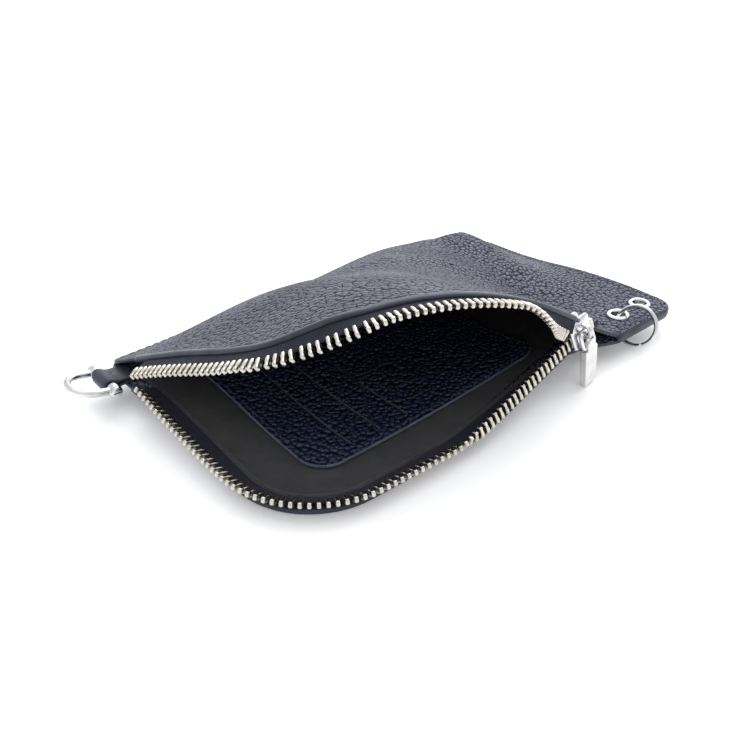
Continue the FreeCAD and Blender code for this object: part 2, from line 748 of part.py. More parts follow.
post = box_between(V(POST_INSET, POST_OFFSET, -half_gap - SLIDER_PLATE / 2),
                   V(POST_INSET + POST_LENGTH, POST_OFFSET + POST_WIDTH, half_gap + SLIDER_PLATE / 2))
slider = slider.fuse(post).removeSplitter()
nodes["slider_body"] = placed(slider, slider_origin, run_way, upper_way)

plate_top = half_gap + SLIDER_PLATE
bail = box_between(V(SLIDER_MIDDLE - BAIL_WIDTH / 2, -BAIL_SPAN / 2, plate_top),
                   V(SLIDER_MIDDLE + BAIL_WIDTH / 2, BAIL_SPAN / 2, plate_top + BAIL_OPENING + BAIL_WIRE))
bail = bail.makeFillet(BAIL_WIRE, [edge for edge in bail.Edges
                                   if abs(edge.tangentAt(edge.FirstParameter).x) > 0.9
                                   and edge.CenterOfMass.z > plate_top + BAIL_OPENING])
bail = bail.cut(box_between(V(0, -BAIL_SPAN / 2 + BAIL_WIRE, plate_top),
                            V(SLIDER_LENGTH, BAIL_SPAN / 2 - BAIL_WIRE, plate_top + BAIL_OPENING)))
nodes["slider_bail"] = placed(bail, slider_origin, run_way, upper_way)
stop_start = SLIDER_LENGTH + STOP_GAP
stop = box_between(V(stop_start, -CHAIN_IN_SLIDER - TOOTH_LENGTH / 2, -TOOTH_THICKNESS / 2),
                   V(stop_start + STOP_LENGTH, -CHAIN_IN_SLIDER + TOOTH_LENGTH / 2, TOOTH_THICKNESS / 2))
nodes["zip_stop"] = placed(stop.makeFillet(PULL_ROUND, stop.Edges), slider_origin, run_way, upper_way)

# Pull: a wire link through the bail and a bar on its cross pin
bail_middle = V(SLIDER_MIDDLE, 0, plate_top + BAIL_OPENING / 2)
link_axis = slider_origin + run_way * bail_middle.x + upper_way * bail_middle.y + outer_way * bail_middle.z
half_link = (LINK_WIDTH - LINK_WIRE) / 2
link_path = rounded_wire([(-half_link, 0, LINK_BEND), (-half_link, -LINK_DROP, LINK_BEND),
                          (half_link, -LINK_DROP, LINK_BEND), (half_link, 0, LINK_BEND)])


def tube(path, wire):
    """Round wire along a closed flat path."""
    start = path.Edges[1].valueAt(path.Edges[1].FirstParameter)
    way = path.Edges[1].tangentAt(path.Edges[1].FirstParameter)
    ring = Part.Wire(Part.makeCircle(wire / 2, start, way))
    ordered = Part.Wire(path.Edges[1:] + path.Edges[:1])
    return ordered.makePipeShell([ring], True, False)


nodes["pull_link"] = placed(tube(link_path, LINK_WIRE), link_axis, run_way, upper_way)
pin_axis = link_axis - upper_way * LINK_DROP
hang_way = (UP - run_way * UP.dot(run_way)).normalize()
pull = box_between(V(-PULL_WIDTH / 2, -PULL_LENGTH, -PULL_THICKNESS / 2),
                   V(PULL_WIDTH / 2, -PULL_SHOULDER, PULL_THICKNESS / 2))
pull_head = box_between(V(-PULL_HEAD_WIDTH / 2, -PULL_SHOULDER - PULL_WIDTH / 2, -PULL_THICKNESS / 2),
                        V(PULL_HEAD_WIDTH / 2, PULL_HEAD, PULL_THICKNESS / 2))
pull = pull.makeFillet(PULL_ROUND, pull.Edges).fuse(pull_head.makeFillet(PULL_ROUND, pull_head.Edges))
bore = LINK_WIRE / 2 + PULL_BORE_CLEARANCE
pull = pull.cut(Part.makeCylinder(bore, 2 * PULL_WIDTH, V(-PULL_WIDTH, 0, 0), V(1, 0, 0)))
nodes["pull_bar"] = placed(pull, pin_axis, run_way, hang_way)

# Strap loop and screw-pin ring at the lifted corner
strap_across = POUCH_WIDTH - STRAP_FROM_FAR
strap_low = LEATHER + LAYER_GAP
strap_level = bent_point(0, strap_across, strap_low + STRAP_LEATHER).z
pin_centre = V(-STRAP_OUT, strap_across, strap_level)
loop_bore = PIN_DIAMETER / 2 + 2 * PIN_CLEARANCE
strap_near = V(0, -STRAP_WIDTH / 2, 0)
loop = Part.makeCylinder(loop_bore + STRAP_LEATHER, STRAP_WIDTH, strap_near, V(0, 1, 0))
tail = box_between(V(0, -STRAP_WIDTH / 2, -STRAP_LEATHER),
                   V(STRAP_OUT + STRAP_TAIL, STRAP_WIDTH / 2, STRAP_LEATHER))
loop = loop.fuse(tail).cut(Part.makeCylinder(loop_bore, STRAP_WIDTH, strap_near, V(0, 1, 0)))
nodes["strap_loop"] = loop.removeSplitter().translated(pin_centre)
eye_bore = PIN_DIAMETER / 2 + PIN_CLEARANCE
bow = Part.makeTorus(RING_HALF_WIDTH, RING_WIRE / 2, V(-RING_LEG, 0, 0), UP, -180, 180, 180)
bow.rotate(V(-RING_LEG, 0, 0), UP, 90)
for side in (-1, 1):
    leg = Part.makeCylinder(RING_WIRE / 2, RING_LEG, V(0, side * RING_HALF_WIDTH, 0), V(-1, 0, 0))
    eye = Part.makeCylinder(RING_EYE / 2, RING_EYE_LENGTH,
                            V(0, side * RING_HALF_WIDTH - RING_EYE_LENGTH / 2, 0), V(0, 1, 0))
    bow = bow.fuse(leg).fuse(eye)
bow = bow.cut(Part.makeCylinder(eye_bore, 4 * RING_HALF_WIDTH, V(0, -2 * RING_HALF_WIDTH, 0), V(0, 1, 0)))
bow = bow.removeSplitter()
bow.rotate(V(0, 0, 0), V(0, 1, 0), RING_RISE)
nodes["strap_ring"] = bow.translated(pin_centre)
pin_reach = RING_HALF_WIDTH + RING_EYE_LENGTH / 2
pin = Part.makeCylinder(PIN_DIAMETER / 2, 2 * pin_reach, V(0, -pin_reach, 0), V(0, 1, 0))
for side in (-1, 1):
    head = Part.makeCylinder(PIN_HEAD / 2, PIN_HEAD_LENGTH, V(0, side * pin_reach, 0), V(0, side, 0))
    pin = pin.fuse(head)
nodes["ring_pin"] = pin.removeSplitter().translated(pin_centre)

# Two eyelets in the tab and the key ring in the first of them
TAB_THICKNESS = 2 * LEATHER + SEAM_CORE
eyelets = []
washers = []
eyelet_middles = []
for i in range(2):
    eyelet_x = POUCH_LENGTH - EYELET_FROM_END + i * EYELET_PITCH
    base = bent_point(eyelet_x, EYELET_FROM_NEAR, 0)
    axis = (bent_point(eyelet_x, EYELET_FROM_NEAR, 1) - base).normalize()
    side = V(1, 0, 0)
    side = (side - axis * side.dot(axis)).normalize()
    top = TAB_THICKNESS + LAYER_GAP
    drill = placed(Part.makeCylinder(EYELET_BARREL / 2 + EYELET_CLEARANCE, TALL, V(0, 0, -TALL / 2)),
                   base, side, axis.cross(side))
    for name in ("bottom_leather", "seam_core", "front_leather_rear"):
        nodes[name] = nodes[name].cut(drill)
    barrel = Part.makeCylinder(EYELET_BARREL / 2, top + EYELET_FLANGE_THICKNESS + LAYER_GAP,
                               V(0, 0, -EYELET_FLANGE_THICKNESS - LAYER_GAP))
    flange = Part.makeCylinder(EYELET_FLANGE / 2, EYELET_FLANGE_THICKNESS, V(0, 0, top))
    flange = flange.makeFillet(EYELET_ROUND, [flange.Edges[0]])
    hole = Part.makeCylinder(EYELET_HOLE / 2, TALL, V(0, 0, -TALL / 2))
    eyelets.append(placed(barrel.fuse(flange).cut(hole).removeSplitter(), base, side, axis.cross(side)))
    washer = Part.makeCylinder(EYELET_FLANGE / 2, EYELET_FLANGE_THICKNESS,
                               V(0, 0, -EYELET_FLANGE_THICKNESS - LAYER_GAP))
    washer = washer.cut(Part.makeCylinder(EYELET_BARREL / 2 + PIN_CLEARANCE, TALL, V(0, 0, -TALL / 2)))
    washers.append(placed(washer, base, side, axis.cross(side)))
    eyelet_middles.append((base + axis * (TAB_THICKNESS / 2), axis))
nodes["eyelets"] = Part.makeCompound(eyelets)
nodes["eyelet_washers"] = Part.makeCompound(washers)

ring_eye, eyelet_axis = eyelet_middles[0]
ring_turn = math.radians(KEY_RING_TURN)
ring_out = V(math.sin(ring_turn), -math.cos(ring_turn), 0)
ring_out = (ring_out - eyelet_axis * ring_out.dot(eyelet_axis)).normalize()
ring_side = eyelet_axis.cross(ring_out)
lean_angle = math.radians(KEY_RING_LEAN)
drop_angle = math.radians(KEY_RING_DROP)
ring_up = eyelet_axis * math.cos(lean_angle) + ring_side * math.sin(lean_angle)
ring_radius = KEY_RING_DIAMETER / 2
key_ring = Part.makeTorus(ring_radius, KEY_RING_WIRE / 2)
split = box_between(V(0, -KEY_RING_SPLIT / 2, -TALL), V(TALL, KEY_RING_SPLIT / 2, TALL))
split.rotate(V(0, 0, 0), UP, KEY_RING_SPLIT_ANGLE)
key_ring = key_ring.cut(split)
ring_drop = ring_out * math.cos(drop_angle) - ring_up * math.sin(drop_angle)
ring_centre = ring_eye + ring_drop * ring_radius
nodes["key_ring"] = placed(key_ring, ring_centre, ring_out, ring_up)

# Shift to the bottom centre and write one file per piece
everything = FreeCAD.BoundBox()
for shape in nodes.values():
    everything.add(shape.optimalBoundingBox(False, False))
FRAME = V(-everything.Center.x, -everything.Center.y, -everything.ZMin)
os.makedirs("parts", exist_ok=True)
for name, shape in nodes.items():
    nodes[name] = shape.translated(FRAME)
    nodes[name].exportStep("parts/" + name + ".step")
    print(name, len(shape.Solids), round(shape.Volume, 1), shape.isValid())
print("frame", FRAME, everything)
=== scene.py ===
import math
import bmesh
import bpy
import numpy as np
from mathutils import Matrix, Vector, geometry, noise


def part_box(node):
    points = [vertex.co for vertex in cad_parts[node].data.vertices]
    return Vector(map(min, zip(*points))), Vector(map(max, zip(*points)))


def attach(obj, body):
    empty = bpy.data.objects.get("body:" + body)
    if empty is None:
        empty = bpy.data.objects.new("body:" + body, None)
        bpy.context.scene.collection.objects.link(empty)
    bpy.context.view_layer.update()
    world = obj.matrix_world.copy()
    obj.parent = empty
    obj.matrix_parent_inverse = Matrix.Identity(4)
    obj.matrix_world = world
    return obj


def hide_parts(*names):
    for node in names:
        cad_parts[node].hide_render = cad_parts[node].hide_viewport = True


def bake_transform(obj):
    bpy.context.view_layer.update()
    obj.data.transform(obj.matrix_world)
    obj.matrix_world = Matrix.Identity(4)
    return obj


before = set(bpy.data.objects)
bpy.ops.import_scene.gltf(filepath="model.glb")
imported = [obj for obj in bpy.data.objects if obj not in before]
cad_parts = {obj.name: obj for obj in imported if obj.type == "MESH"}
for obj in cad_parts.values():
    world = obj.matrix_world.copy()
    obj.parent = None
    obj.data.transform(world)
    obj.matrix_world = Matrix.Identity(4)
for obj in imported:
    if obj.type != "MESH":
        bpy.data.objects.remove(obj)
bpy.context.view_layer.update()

# Bottom panel: the back of the pouch, one piece of pebbled calf leather cut to the outline with
# the tab, its edge sanded round and painted.  It lies flat along its diagonal, and the strap
# corner and the tab corner stand off the table.
LENGTH, WIDTH, LEATHER, EDGE_ROUNDING = 178.0, 102.0, 1.3, 0.45
DIAGONAL = math.hypot(LENGTH, WIDTH)
ACROSS = Vector((-WIDTH / DIAGONAL, LENGTH / DIAGONAL, 0))
FLAT_HALF_WIDTH, LIFT_RUN, STRAP_CORNER_LIFT, TAB_CORNER_LIFT = 4.5, 70.0, 5.6, 6.6
MOUTH_INSET, CORNER_RADIUS, BOW_ALONG, BOW_DEPTH, BOW_RADIUS = 2.5, 28, 62.0, 3.0, 90.0
TAB_START, TAB_DEPTH = 142.0, 24.0
BOTTOM_CUT = [(0, WIDTH, 5), (MOUTH_INSET, MOUTH_INSET, CORNER_RADIUS),
              (BOW_ALONG, MOUTH_INSET - BOW_DEPTH, BOW_RADIUS), (124, 10, 14), (TAB_START, 1.2, 10),
              (LENGTH - 2, 1.2, 7), (LENGTH, WIDTH, 10)]
EYELETS, EYELET_HOLE = [(LENGTH - 24.6, 10.4), (LENGTH - 24.6 + 12.8, 10.4)], 2.9
PIN_PLACE = (-5.2, WIDTH - 8.5)
MM, PATTERN_SCALE = 0.001, 0.01
pin_low, pin_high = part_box("ring_pin")
shift = Vector([(pin_low[i] + pin_high[i]) * 500 - PIN_PLACE[i] for i in range(2)] + [0])


def on_table(point):
    """Place in the shared frame, in metres, of a point measured in mm from the pouch's mouth corner."""
    return (point + shift) * MM


def cut_line(corners, step=1.2, closed=True):
    """Points along a cutting line of straight runs joined by arcs."""
    spots = [Vector(corner[:2]) for corner in corners]
    line = []
    for i, corner in enumerate(corners):
        if not closed and i in (0, len(corners) - 1):
            runs = [spots[i]]
        else:
            back = (spots[i - 1] - spots[i]).normalized()
            ahead = (spots[(i + 1) % len(spots)] - spots[i]).normalized()
            half = back.angle(ahead) / 2
            centre = spots[i] + (back + ahead).normalized() * (corner[2] / math.sin(half))
            first = spots[i] + back * (corner[2] / math.tan(half)) - centre
            last = spots[i] + ahead * (corner[2] / math.tan(half)) - centre
            turn = math.atan2(first.x * last.y - first.y * last.x, first.dot(last))
            pieces = max(2, round(abs(turn) * corner[2] / step))
            runs = []
            for k in range(pieces + 1):
                c, s = math.cos(turn * k / pieces), math.sin(turn * k / pieces)
                runs.append(centre + Vector((c * first.x - s * first.y, s * first.x + c * first.y)))
        for spot in runs:
            if line:
                gap = (spot - line[-1]).length
                start = line[-1]
                for k in range(1, max(1, round(gap / step))):
                    line.append(start.lerp(spot, k / max(1, round(gap / step))))
                if gap < 1e-6:
                    continue
            line.append(spot)
    if closed:
        gap = (line[0] - line[-1]).length
        start = line[-1]
        for k in range(1, max(1, round(gap / step))):
            line.append(start.lerp(line[0], k / max(1, round(gap / step))))
    return line


def round_hole(middle, radius, count=28):
    """Points round a punched hole."""
    turns = [2 * math.pi * k / count for k in range(count)]
    return [Vector((middle[0] + radius * math.cos(a), middle[1] + radius * math.sin(a))) for a in turns]


def within(points, ring):
    """Which points lie inside a closed line."""
    x, y = points[:, 0], points[:, 1]
    hit = np.zeros(len(points), bool)
    for a, b in zip(ring, ring[1:] + ring[:1]):
        if a.y != b.y:
            hit ^= ((a.y > y) != (b.y > y)) & (x < (b.x - a.x) * (y - a.y) / (b.y - a.y) + a.x)
    return hit


def cut_piece(name, ring, holes, spacing, shape, stretch=None):
    """Piece cut from flat leather or cloth and laid to its shape; the flat pattern is kept as its UV map."""
    rings = [ring] + holes
    low, high = np.min([tuple(p) for p in ring], axis=0), np.max([tuple(p) for p in ring], axis=0)
    grid = []
    for row, y in enumerate(np.arange(low[1] + spacing / 2, high[1], spacing * 0.87)):
        for x in np.arange(low[0] + spacing * (0.25 + 0.5 * (row % 2)), high[0], spacing):
            grid.append((x, y))
    grid = np.array(grid)
    keep = within(grid, ring)
    for hole in holes:
        keep &= ~within(grid, hole)
    for loop in rings:
        loop_points = np.array([tuple(p) for p in loop])
        keep &= np.linalg.norm(grid[:, None] - loop_points[None], axis=2).min(axis=1) > spacing * 0.55
    points = [p for loop in rings for p in loop] + [Vector(p) for p in grid[keep].tolist()]
    edges, first = [], 0
    for loop in rings:
        edges += [(first + i, first + (i + 1) % len(loop)) for i in range(len(loop))]
        first += len(loop)
    spots, _, faces, *_ = geometry.delaunay_2d_cdt(points, edges, [], 0, 1e-5)
    middles = np.array([tuple(sum((spots[i] for i in face), Vector((0, 0))) / len(face)) for face in faces])
    stay = within(middles, ring)
    for hole in holes:
        stay &= ~within(middles, hole)
    faces = [face for face, kept in zip(faces, stay) if kept and geometry.area_tri(*[spots[i] for i in face]) > 0.02]
    mesh = bpy.data.meshes.new(name)
    mesh.from_pydata([on_table(shape(p.x, p.y)) for p in spots], [], faces)
    pattern = mesh.uv_layers.new(name="flat")
    for corner in mesh.loops:
        spot = spots[corner.vertex_index]
        pattern.data[corner.index].uv = (stretch(spot) if stretch else spot) * PATTERN_SCALE
    piece = bpy.data.objects.new(name, mesh)
    bpy.context.scene.collection.objects.link(piece)
    return piece


def settle(piece):
    """Fixes the modifiers of a piece into its mesh and shades it smooth."""
    made = bpy.data.meshes.new_from_object(piece.evaluated_get(bpy.context.evaluated_depsgraph_get()))
    piece.modifiers.clear()
    piece.data = made
    made.shade_smooth()
    return piece


def thicken(piece, thickness, side, rounding):
    """Gives a cut piece its thickness on one side and rounds its edge."""
    solid = piece.modifiers.new("thickness", "SOLIDIFY")
    solid.thickness = thickness * MM
    solid.offset = side
    solid.material_offset_rim = 1
    edge = piece.modifiers.new("edge", "BEVEL")
    edge.limit_method = "ANGLE"
    edge.angle_limit = math.radians(50)
    edge.width = rounding * MM
    edge.segments = 3
    return settle(piece)


def node(tree, kind, inputs=None, **settings):
    """Adds one shader node with its settings and inputs."""
    made = tree.nodes.new(kind)
    for key, value in settings.items():
        setattr(made, key, value)
    for key, value in (inputs or {}).items():
        if isinstance(value, bpy.types.NodeSocket):
            tree.links.new(value, made.inputs[key])
        else:
            made.inputs[key].default_value = value
    return made


def new_finish(name, **values):
    """Material with its steady values set on the surface shader."""
    material = bpy.data.materials.new(name)
    material.use_nodes = True
    surface = material.node_tree.nodes["Principled BSDF"]
    for key, value in values.items():
        surface.inputs[key.replace("_", " ")].default_value = value
    return material, material.node_tree, surface


def two_tone(tree, share, dark, light):
    """Colour between two tones."""
    mixed = node(tree, "ShaderNodeMix", {"Factor": share}, data_type="RGBA")
    mixed.inputs[6].default_value = (*dark, 1)
    mixed.inputs[7].default_value = (*light, 1)
    return mixed.outputs[2]


def between(tree, value, low, high, first, last):
    """Value eased from one span onto another."""
    spread = node(tree, "ShaderNodeMapRange", {"Value": value, "From Min": low, "From Max": high,
                                               "To Min": first, "To Max": last})
    return spread.outputs["Result"]


def figured(tree, operation, *values, **settings):
    """Result of one sum in a shader."""
    return node(tree, "ShaderNodeMath", dict(enumerate(values)), operation=operation, **settings).outputs["Value"]


def mottle(tree, place, scale, detail, **more):
    """Cloudy pattern over a surface."""
    inputs = {"Vector": place, "Scale": scale, "Detail": detail, **more}
    return node(tree, "ShaderNodeTexNoise", inputs).outputs["Fac"]


def coated(tree, surface, tone, rough, height, strength, depth):
    """Gives a surface its colour, its gloss and its fine relief."""
    relief = node(tree, "ShaderNodeBump", {"Height": height, "Strength": strength, "Distance": depth})
    tree.links.new(tone, surface.inputs["Base Color"])
    tree.links.new(rough, surface.inputs["Roughness"])
    tree.links.new(relief.outputs["Normal"], surface.inputs["Normal"])


def flat_place(tree):
    """Place on the flat pattern of a piece."""
    return node(tree, "ShaderNodeUVMap", uv_map="flat").outputs["UV"]


def solid_place(tree):
    """Place in the solid of a piece."""
    return node(tree, "ShaderNodeTexCoord").outputs["Object"]


def pebbled_leather(name, dark, light, grain, depth, rough):
    """Drum-dyed calf leather with a pebbled grain: domed cells, with painted shade that darkens the creases between
    them and dulls their reflection.
    """
    material, tree, surface = new_finish(name, IOR=1.5)
    place = flat_place(tree)
    drift = node(tree, "ShaderNodeTexNoise", {"Vector": place, "Scale": 40.0, "Detail": 1.0}).outputs["Color"]
    pull = node(tree, "ShaderNodeVectorMath", {0: drift, 1: (0.014, 0.014, 0)}, operation="MULTIPLY")
    spot = node(tree, "ShaderNodeVectorMath", {0: place, 1: pull.outputs["Vector"]}, operation="ADD")
    to_crease, to_middle = [
        node(tree, "ShaderNodeTexVoronoi", {"Vector": spot.outputs["Vector"], "Scale": grain},
             feature=feature, voronoi_dimensions="2D").outputs["Distance"] for feature in ("DISTANCE_TO_EDGE", "F1")]
    dome = figured(tree, "MULTIPLY_ADD", figured(tree, "MULTIPLY", to_middle, to_middle), -2.6, 1.0)
    crease = between(tree, mottle(tree, place, grain * 0.7, 2.0), 0.35, 0.65, 0.05, 0.22)
    crest = figured(tree, "DIVIDE", to_crease, crease, use_clamp=True)
    pores = mottle(tree, place, grain * 3.0, 4.0)
    cloud = between(tree, mottle(tree, place, 3.5, 4.0), 0.3, 0.7, 0.65, 1)
    # Painted shade: the colour darkens towards the creases between the cells, mixed with a soft random tone over the
    # hide.
    crease_shade_and_mottle = figured(tree, "MULTIPLY", cloud, crest)
    coated(tree, surface, two_tone(tree, crease_shade_and_mottle, dark, light), between(tree, crease_shade_and_mottle, 0, 1, rough + 0.3, rough),
           figured(tree, "MULTIPLY_ADD", pores, 0.2, dome), 1.0, depth)
    # Painted shade: the specular level falls nearly to nothing in the creases.
    tree.links.new(between(tree, crease_shade_and_mottle, 0, 1, 0.05, 0.45), surface.inputs["Specular IOR Level"])
    return material


def smooth_leather(name, dark, light, rough):
    """Leather without grain, as on turned and painted edges: fine pores and faint rub marks."""
    material, tree, surface = new_finish(name, IOR=1.5, Specular_IOR_Level=0.32, Sheen_Weight=0.06,
                                         Sheen_Roughness=0.4)
    place = solid_place(tree)
    pores = mottle(tree, place, 2600.0, 3.0)
    marks = mottle(tree, place, 160.0, 5.0, Distortion=0.6)
    tone = two_tone(tree, between(tree, marks, 0.3, 0.7, 0, 1), dark, light)
    gloss = between(tree, marks, 0.3, 0.7, rough + 0.08, rough - 0.05)
    coated(tree, surface, tone, gloss, pores, 0.35, 0.00008)
    return material


def dress(piece, material, slot, body, *nodes):
    """Gives a piece its finish, the nodes that it stands for and the body that it moves with."""
    piece.data.materials.append(material)
    if nodes:
        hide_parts(*nodes)
    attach(piece, body)
    return piece


def bent(x, y, height):
    """Point of a bottom layer over a flat place, after the two corners are lifted."""
    across = x * ACROSS.x + y * ACROSS.y
    lift = STRAP_CORNER_LIFT if across > 0 else TAB_CORNER_LIFT
    radius = LIFT_RUN / (2 * math.sin(2 * math.atan2(lift, LIFT_RUN)))
    past = abs(across) - FLAT_HALF_WIDTH
    slope, level = 0.0, 0.0
    if past >= LIFT_RUN:
        level = lift
    elif past > LIFT_RUN / 2:
        slope = math.asin((LIFT_RUN - past) / radius)
        level = lift - radius * (1 - math.cos(slope))
    elif past > 0:
        slope = math.asin(past / radius)
        level = radius * (1 - math.cos(slope))
    drawn = math.copysign(height * math.sin(slope), across)
    return Vector((x, y, level + height * math.cos(slope))) - ACROSS * drawn


# The dark tone of this leather is the painted shade in the creases between its cells.
grained = pebbled_leather("navy_pebbled_leather", (0.012, 0.014, 0.024), (0.150, 0.157, 0.210), 60.0, 0.0011, 0.42)
edge_paint = smooth_leather("navy_edge_paint", (0.022, 0.025, 0.040), (0.036, 0.040, 0.060), 0.4)
bottom_panel = cut_piece("bottom_panel", cut_line(BOTTOM_CUT), [round_hole(spot, EYELET_HOLE) for spot in EYELETS], 2.4,
                         lambda x, y: bent(x, y, LEATHER))
dress(bottom_panel, grained, "grained_leather", "pouch", "bottom_leather").data.materials.append(edge_paint)
thicken(bottom_panel, LEATHER, -1, EDGE_ROUNDING)

# Lining of the bottom panel: thin charcoal cloth glued to the leather inside the seams, with a
# folded hem where it meets the zip tape.
LINING, LAYER_GAP = 0.4, 0.1
LINING_TOP = LEATHER + LAYER_GAP + LINING
LINING_CUT = [(5, 94.7, 3), (7.5, 7.5, 23), (62, 4.6, 85), (124, 15.2, 16), (141.5, 24.3, 4), (170.7, 24.3, 2),
              (170.7, 94.7, 2)]


def ribbed(tree, place, scale, distortion, way, **more):
    """Pattern of fine ribs running one way."""
    inputs = {"Vector": place, "Scale": scale, "Distortion": distortion, **more}
    return node(tree, "ShaderNodeTexWave", inputs, bands_direction=way).outputs["Fac"]


def lining_cloth(name):
    """Matt charcoal lining cloth with a fine plain weave and soft mottling."""
    material, tree, surface = new_finish(name, IOR=1.4, Sheen_Weight=0.2, Sheen_Roughness=0.6)
    place = flat_place(tree)
    cloud = mottle(tree, place, 9.0, 5.0, Roughness=0.6)
    weave = figured(tree, "MULTIPLY", *[ribbed(tree, place, 95.0, 0.6, way) for way in "XY"])
    tone = two_tone(tree, between(tree, cloud, 0.3, 0.7, 0, 1), (0.005, 0.005, 0.006), (0.026, 0.026, 0.029))
    coated(tree, surface, tone, between(tree, cloud, 0.3, 0.7, 0.85, 0.68),
           figured(tree, "MULTIPLY_ADD", cloud, 3.0, weave), 0.8, 0.0003)
    return material


charcoal = lining_cloth("charcoal_lining")


def rumpled(x, y):
    """Lining with the small puckers of glued cloth."""
    wave = 0.2 * noise.noise(Vector((x * 0.09, y * 0.09, 2.0))) + 0.14 * noise.noise(Vector((x * 0.27, y * 0.27, 4.0)))
    return bent(x, y, LINING_TOP + wave)


bottom_lining = cut_piece("bottom_lining_cloth", cut_line(LINING_CUT), [], 1.7, rumpled)
settle(dress(bottom_lining, charcoal, "lining", "pouch", "bottom_lining"))

# Card panel: an oblong of the same pebbled leather with slots, sewn to the lining over a cloth
# pocket.  Its edge is cut raw, stitched close in, and a fine pressed line runs over it.
CARD_LEFT, CARD_NEAR, CARD_LENGTH, CARD_WIDTH, CARD_LEATHER = 21.5, 16.5, 98.0, 69.5, 1.1
CARD_TOP = LINING_TOP + LAYER_GAP + LINING + LAYER_GAP + CARD_LEATHER
SLOT_MARGIN, SLOT_OPENING = 4.75, 0.9
SLOT_NEAR, SLOT_FAR = CARD_NEAR + SLOT_MARGIN, CARD_NEAR + CARD_WIDTH - SLOT_MARGIN
SLOTS = [CARD_LEFT + 15.5 + 11.5 * i for i in range(3)]
PRESSED_LINE = [(60.6, 68.0), (61.5, 55.0), (60.6, 46.5), (59.2, 41.0), (55.6, 36.2), (52.4, 31.0), (49.1, 24.1)]
PRESSED_BRANCH = [(60.4, 45.6), (64.0, 46.6), (68.7, 48.8)]


def oblong(left, near, right, far, corner):
    """Corners of an oblong with one radius all round."""
    return [(left, near, corner), (right, near, corner), (right, far, corner), (left, far, corner)]


CARD_CUT = oblong(CARD_LEFT, CARD_NEAR, CARD_LEFT + CARD_LENGTH, CARD_NEAR + CARD_WIDTH, 9)


def skin(name, shells, ring=True, loop=False, pattern=None):
    """Skin over rows of points; the points of a row may close to a ring and the rows to a loop."""
    corners, faces = [], []
    for rows in shells:
        start, count, total = len(corners), len(rows[0]), len(rows)
        corners += [on_table(point) for row in rows for point in row]
        for i in range(total if loop else total - 1):
            for j in range(count if ring else count - 1):
                here, there = start + i * count, start + (i + 1) % total * count
                faces.append((here + j, here + (j + 1) % count, there + (j + 1) % count, there + j))
        if ring and not loop:
            faces.append(tuple(start + j for j in reversed(range(count))))
            faces.append(tuple(start + (total - 1) * count + j for j in range(count)))
    mesh = bpy.data.meshes.new(name)
    mesh.from_pydata(corners, [], faces)
    if pattern:
        layer = mesh.uv_layers.new(name="flat")
        for corner in mesh.loops:
            row, column = divmod(corner.vertex_index, len(shells[0][0]))
            layer.data[corner.index].uv = (pattern[0][row] * PATTERN_SCALE, pattern[1][column] * PATTERN_SCALE)
    if ring:
        whole = bmesh.new()
        whole.from_mesh(mesh)
        bmesh.ops.recalc_face_normals(whole, faces=whole.faces)
        whole.to_mesh(mesh)
        whole.free()
    mesh.shade_smooth()
    piece = bpy.data.objects.new(name, mesh)
    bpy.context.scene.collection.objects.link(piece)
    return piece


def measured(line):
    """Distances along a line of points."""
    marks = [0.0]
    for a, b in zip(line, line[1:]):
        marks.append(marks[-1] + (b - a).length)
    return marks


def even_steps(line, step):
    """Points at even steps along a line, with the way on from each."""
    marks = measured(line)
    steps, i = [], 0
    for k in range(int(marks[-1] / step)):
        distance = (k + 0.5) * step
        while marks[i + 1] < distance:
            i += 1
        share = (distance - marks[i]) / (marks[i + 1] - marks[i])
        steps.append((line[i].lerp(line[i + 1], share), (line[i + 1] - line[i]).normalized()))
    return steps


def stitch_row(name, line, normals, pitch, length, thick):
    """Row of single stitches lying in a line, each with its ends drawn into the leather."""
    shells = []
    for spot, way in even_steps(line, pitch):
        up = normals(spot)
        up = (up - way * up.dot(way)).normalized()
        side = way.cross(up)
        rows = []
        for reach, width, sink in ((-0.5, 0.3, -0.6), (-0.38, 0.85, -0.1), (-0.15, 1.0, 0.2),
                                   (0.15, 1.0, 0.2), (0.38, 0.85, -0.1), (0.5, 0.3, -0.6)):
            middle = spot + way * (reach * length) + up * (sink * thick)
            turns = [2 * math.pi * j / 6 for j in range(6)]
            rows.append([middle + (side * math.cos(a) + up * math.sin(a)) * (width * thick) for a in turns])
        shells.append(rows)
    return skin(name, shells)


def thread(name, dark, light):
    """Waxed sewing thread: fine twisted strands with a low sheen, and painted shade darkening the grooves between the
    strands.
    """
    material, tree, surface = new_finish(name, Sheen_Weight=0.25, Sheen_Roughness=0.4)
    strands = ribbed(tree, solid_place(tree), 900.0, 1.5, "DIAGONAL")
    # Painted shade: the tone follows the strands and is darker in the grooves between them.
    coated(tree, surface, two_tone(tree, strands, dark, light), between(tree, strands, 0, 1, 0.65, 0.5),
           strands, 0.5, 0.00005)
    return material


UP = Vector((0, 0, 1))


def straight_up(spot):
    """Way up, for stitches that lie on a level piece."""
    return UP


POCKET_CUT = [(x + 0.15 * (60 - x) / 40, y + 0.15 * (50 - y) / 30, 8.7) for x, y, _ in CARD_CUT]
pocket = cut_piece("card_pocket_cloth", cut_line(POCKET_CUT), [], 4.0,
                   lambda x, y: bent(x, y, LINING_TOP + LAYER_GAP + LINING))
settle(dress(pocket, charcoal, "lining", "pouch", "card_pocket"))
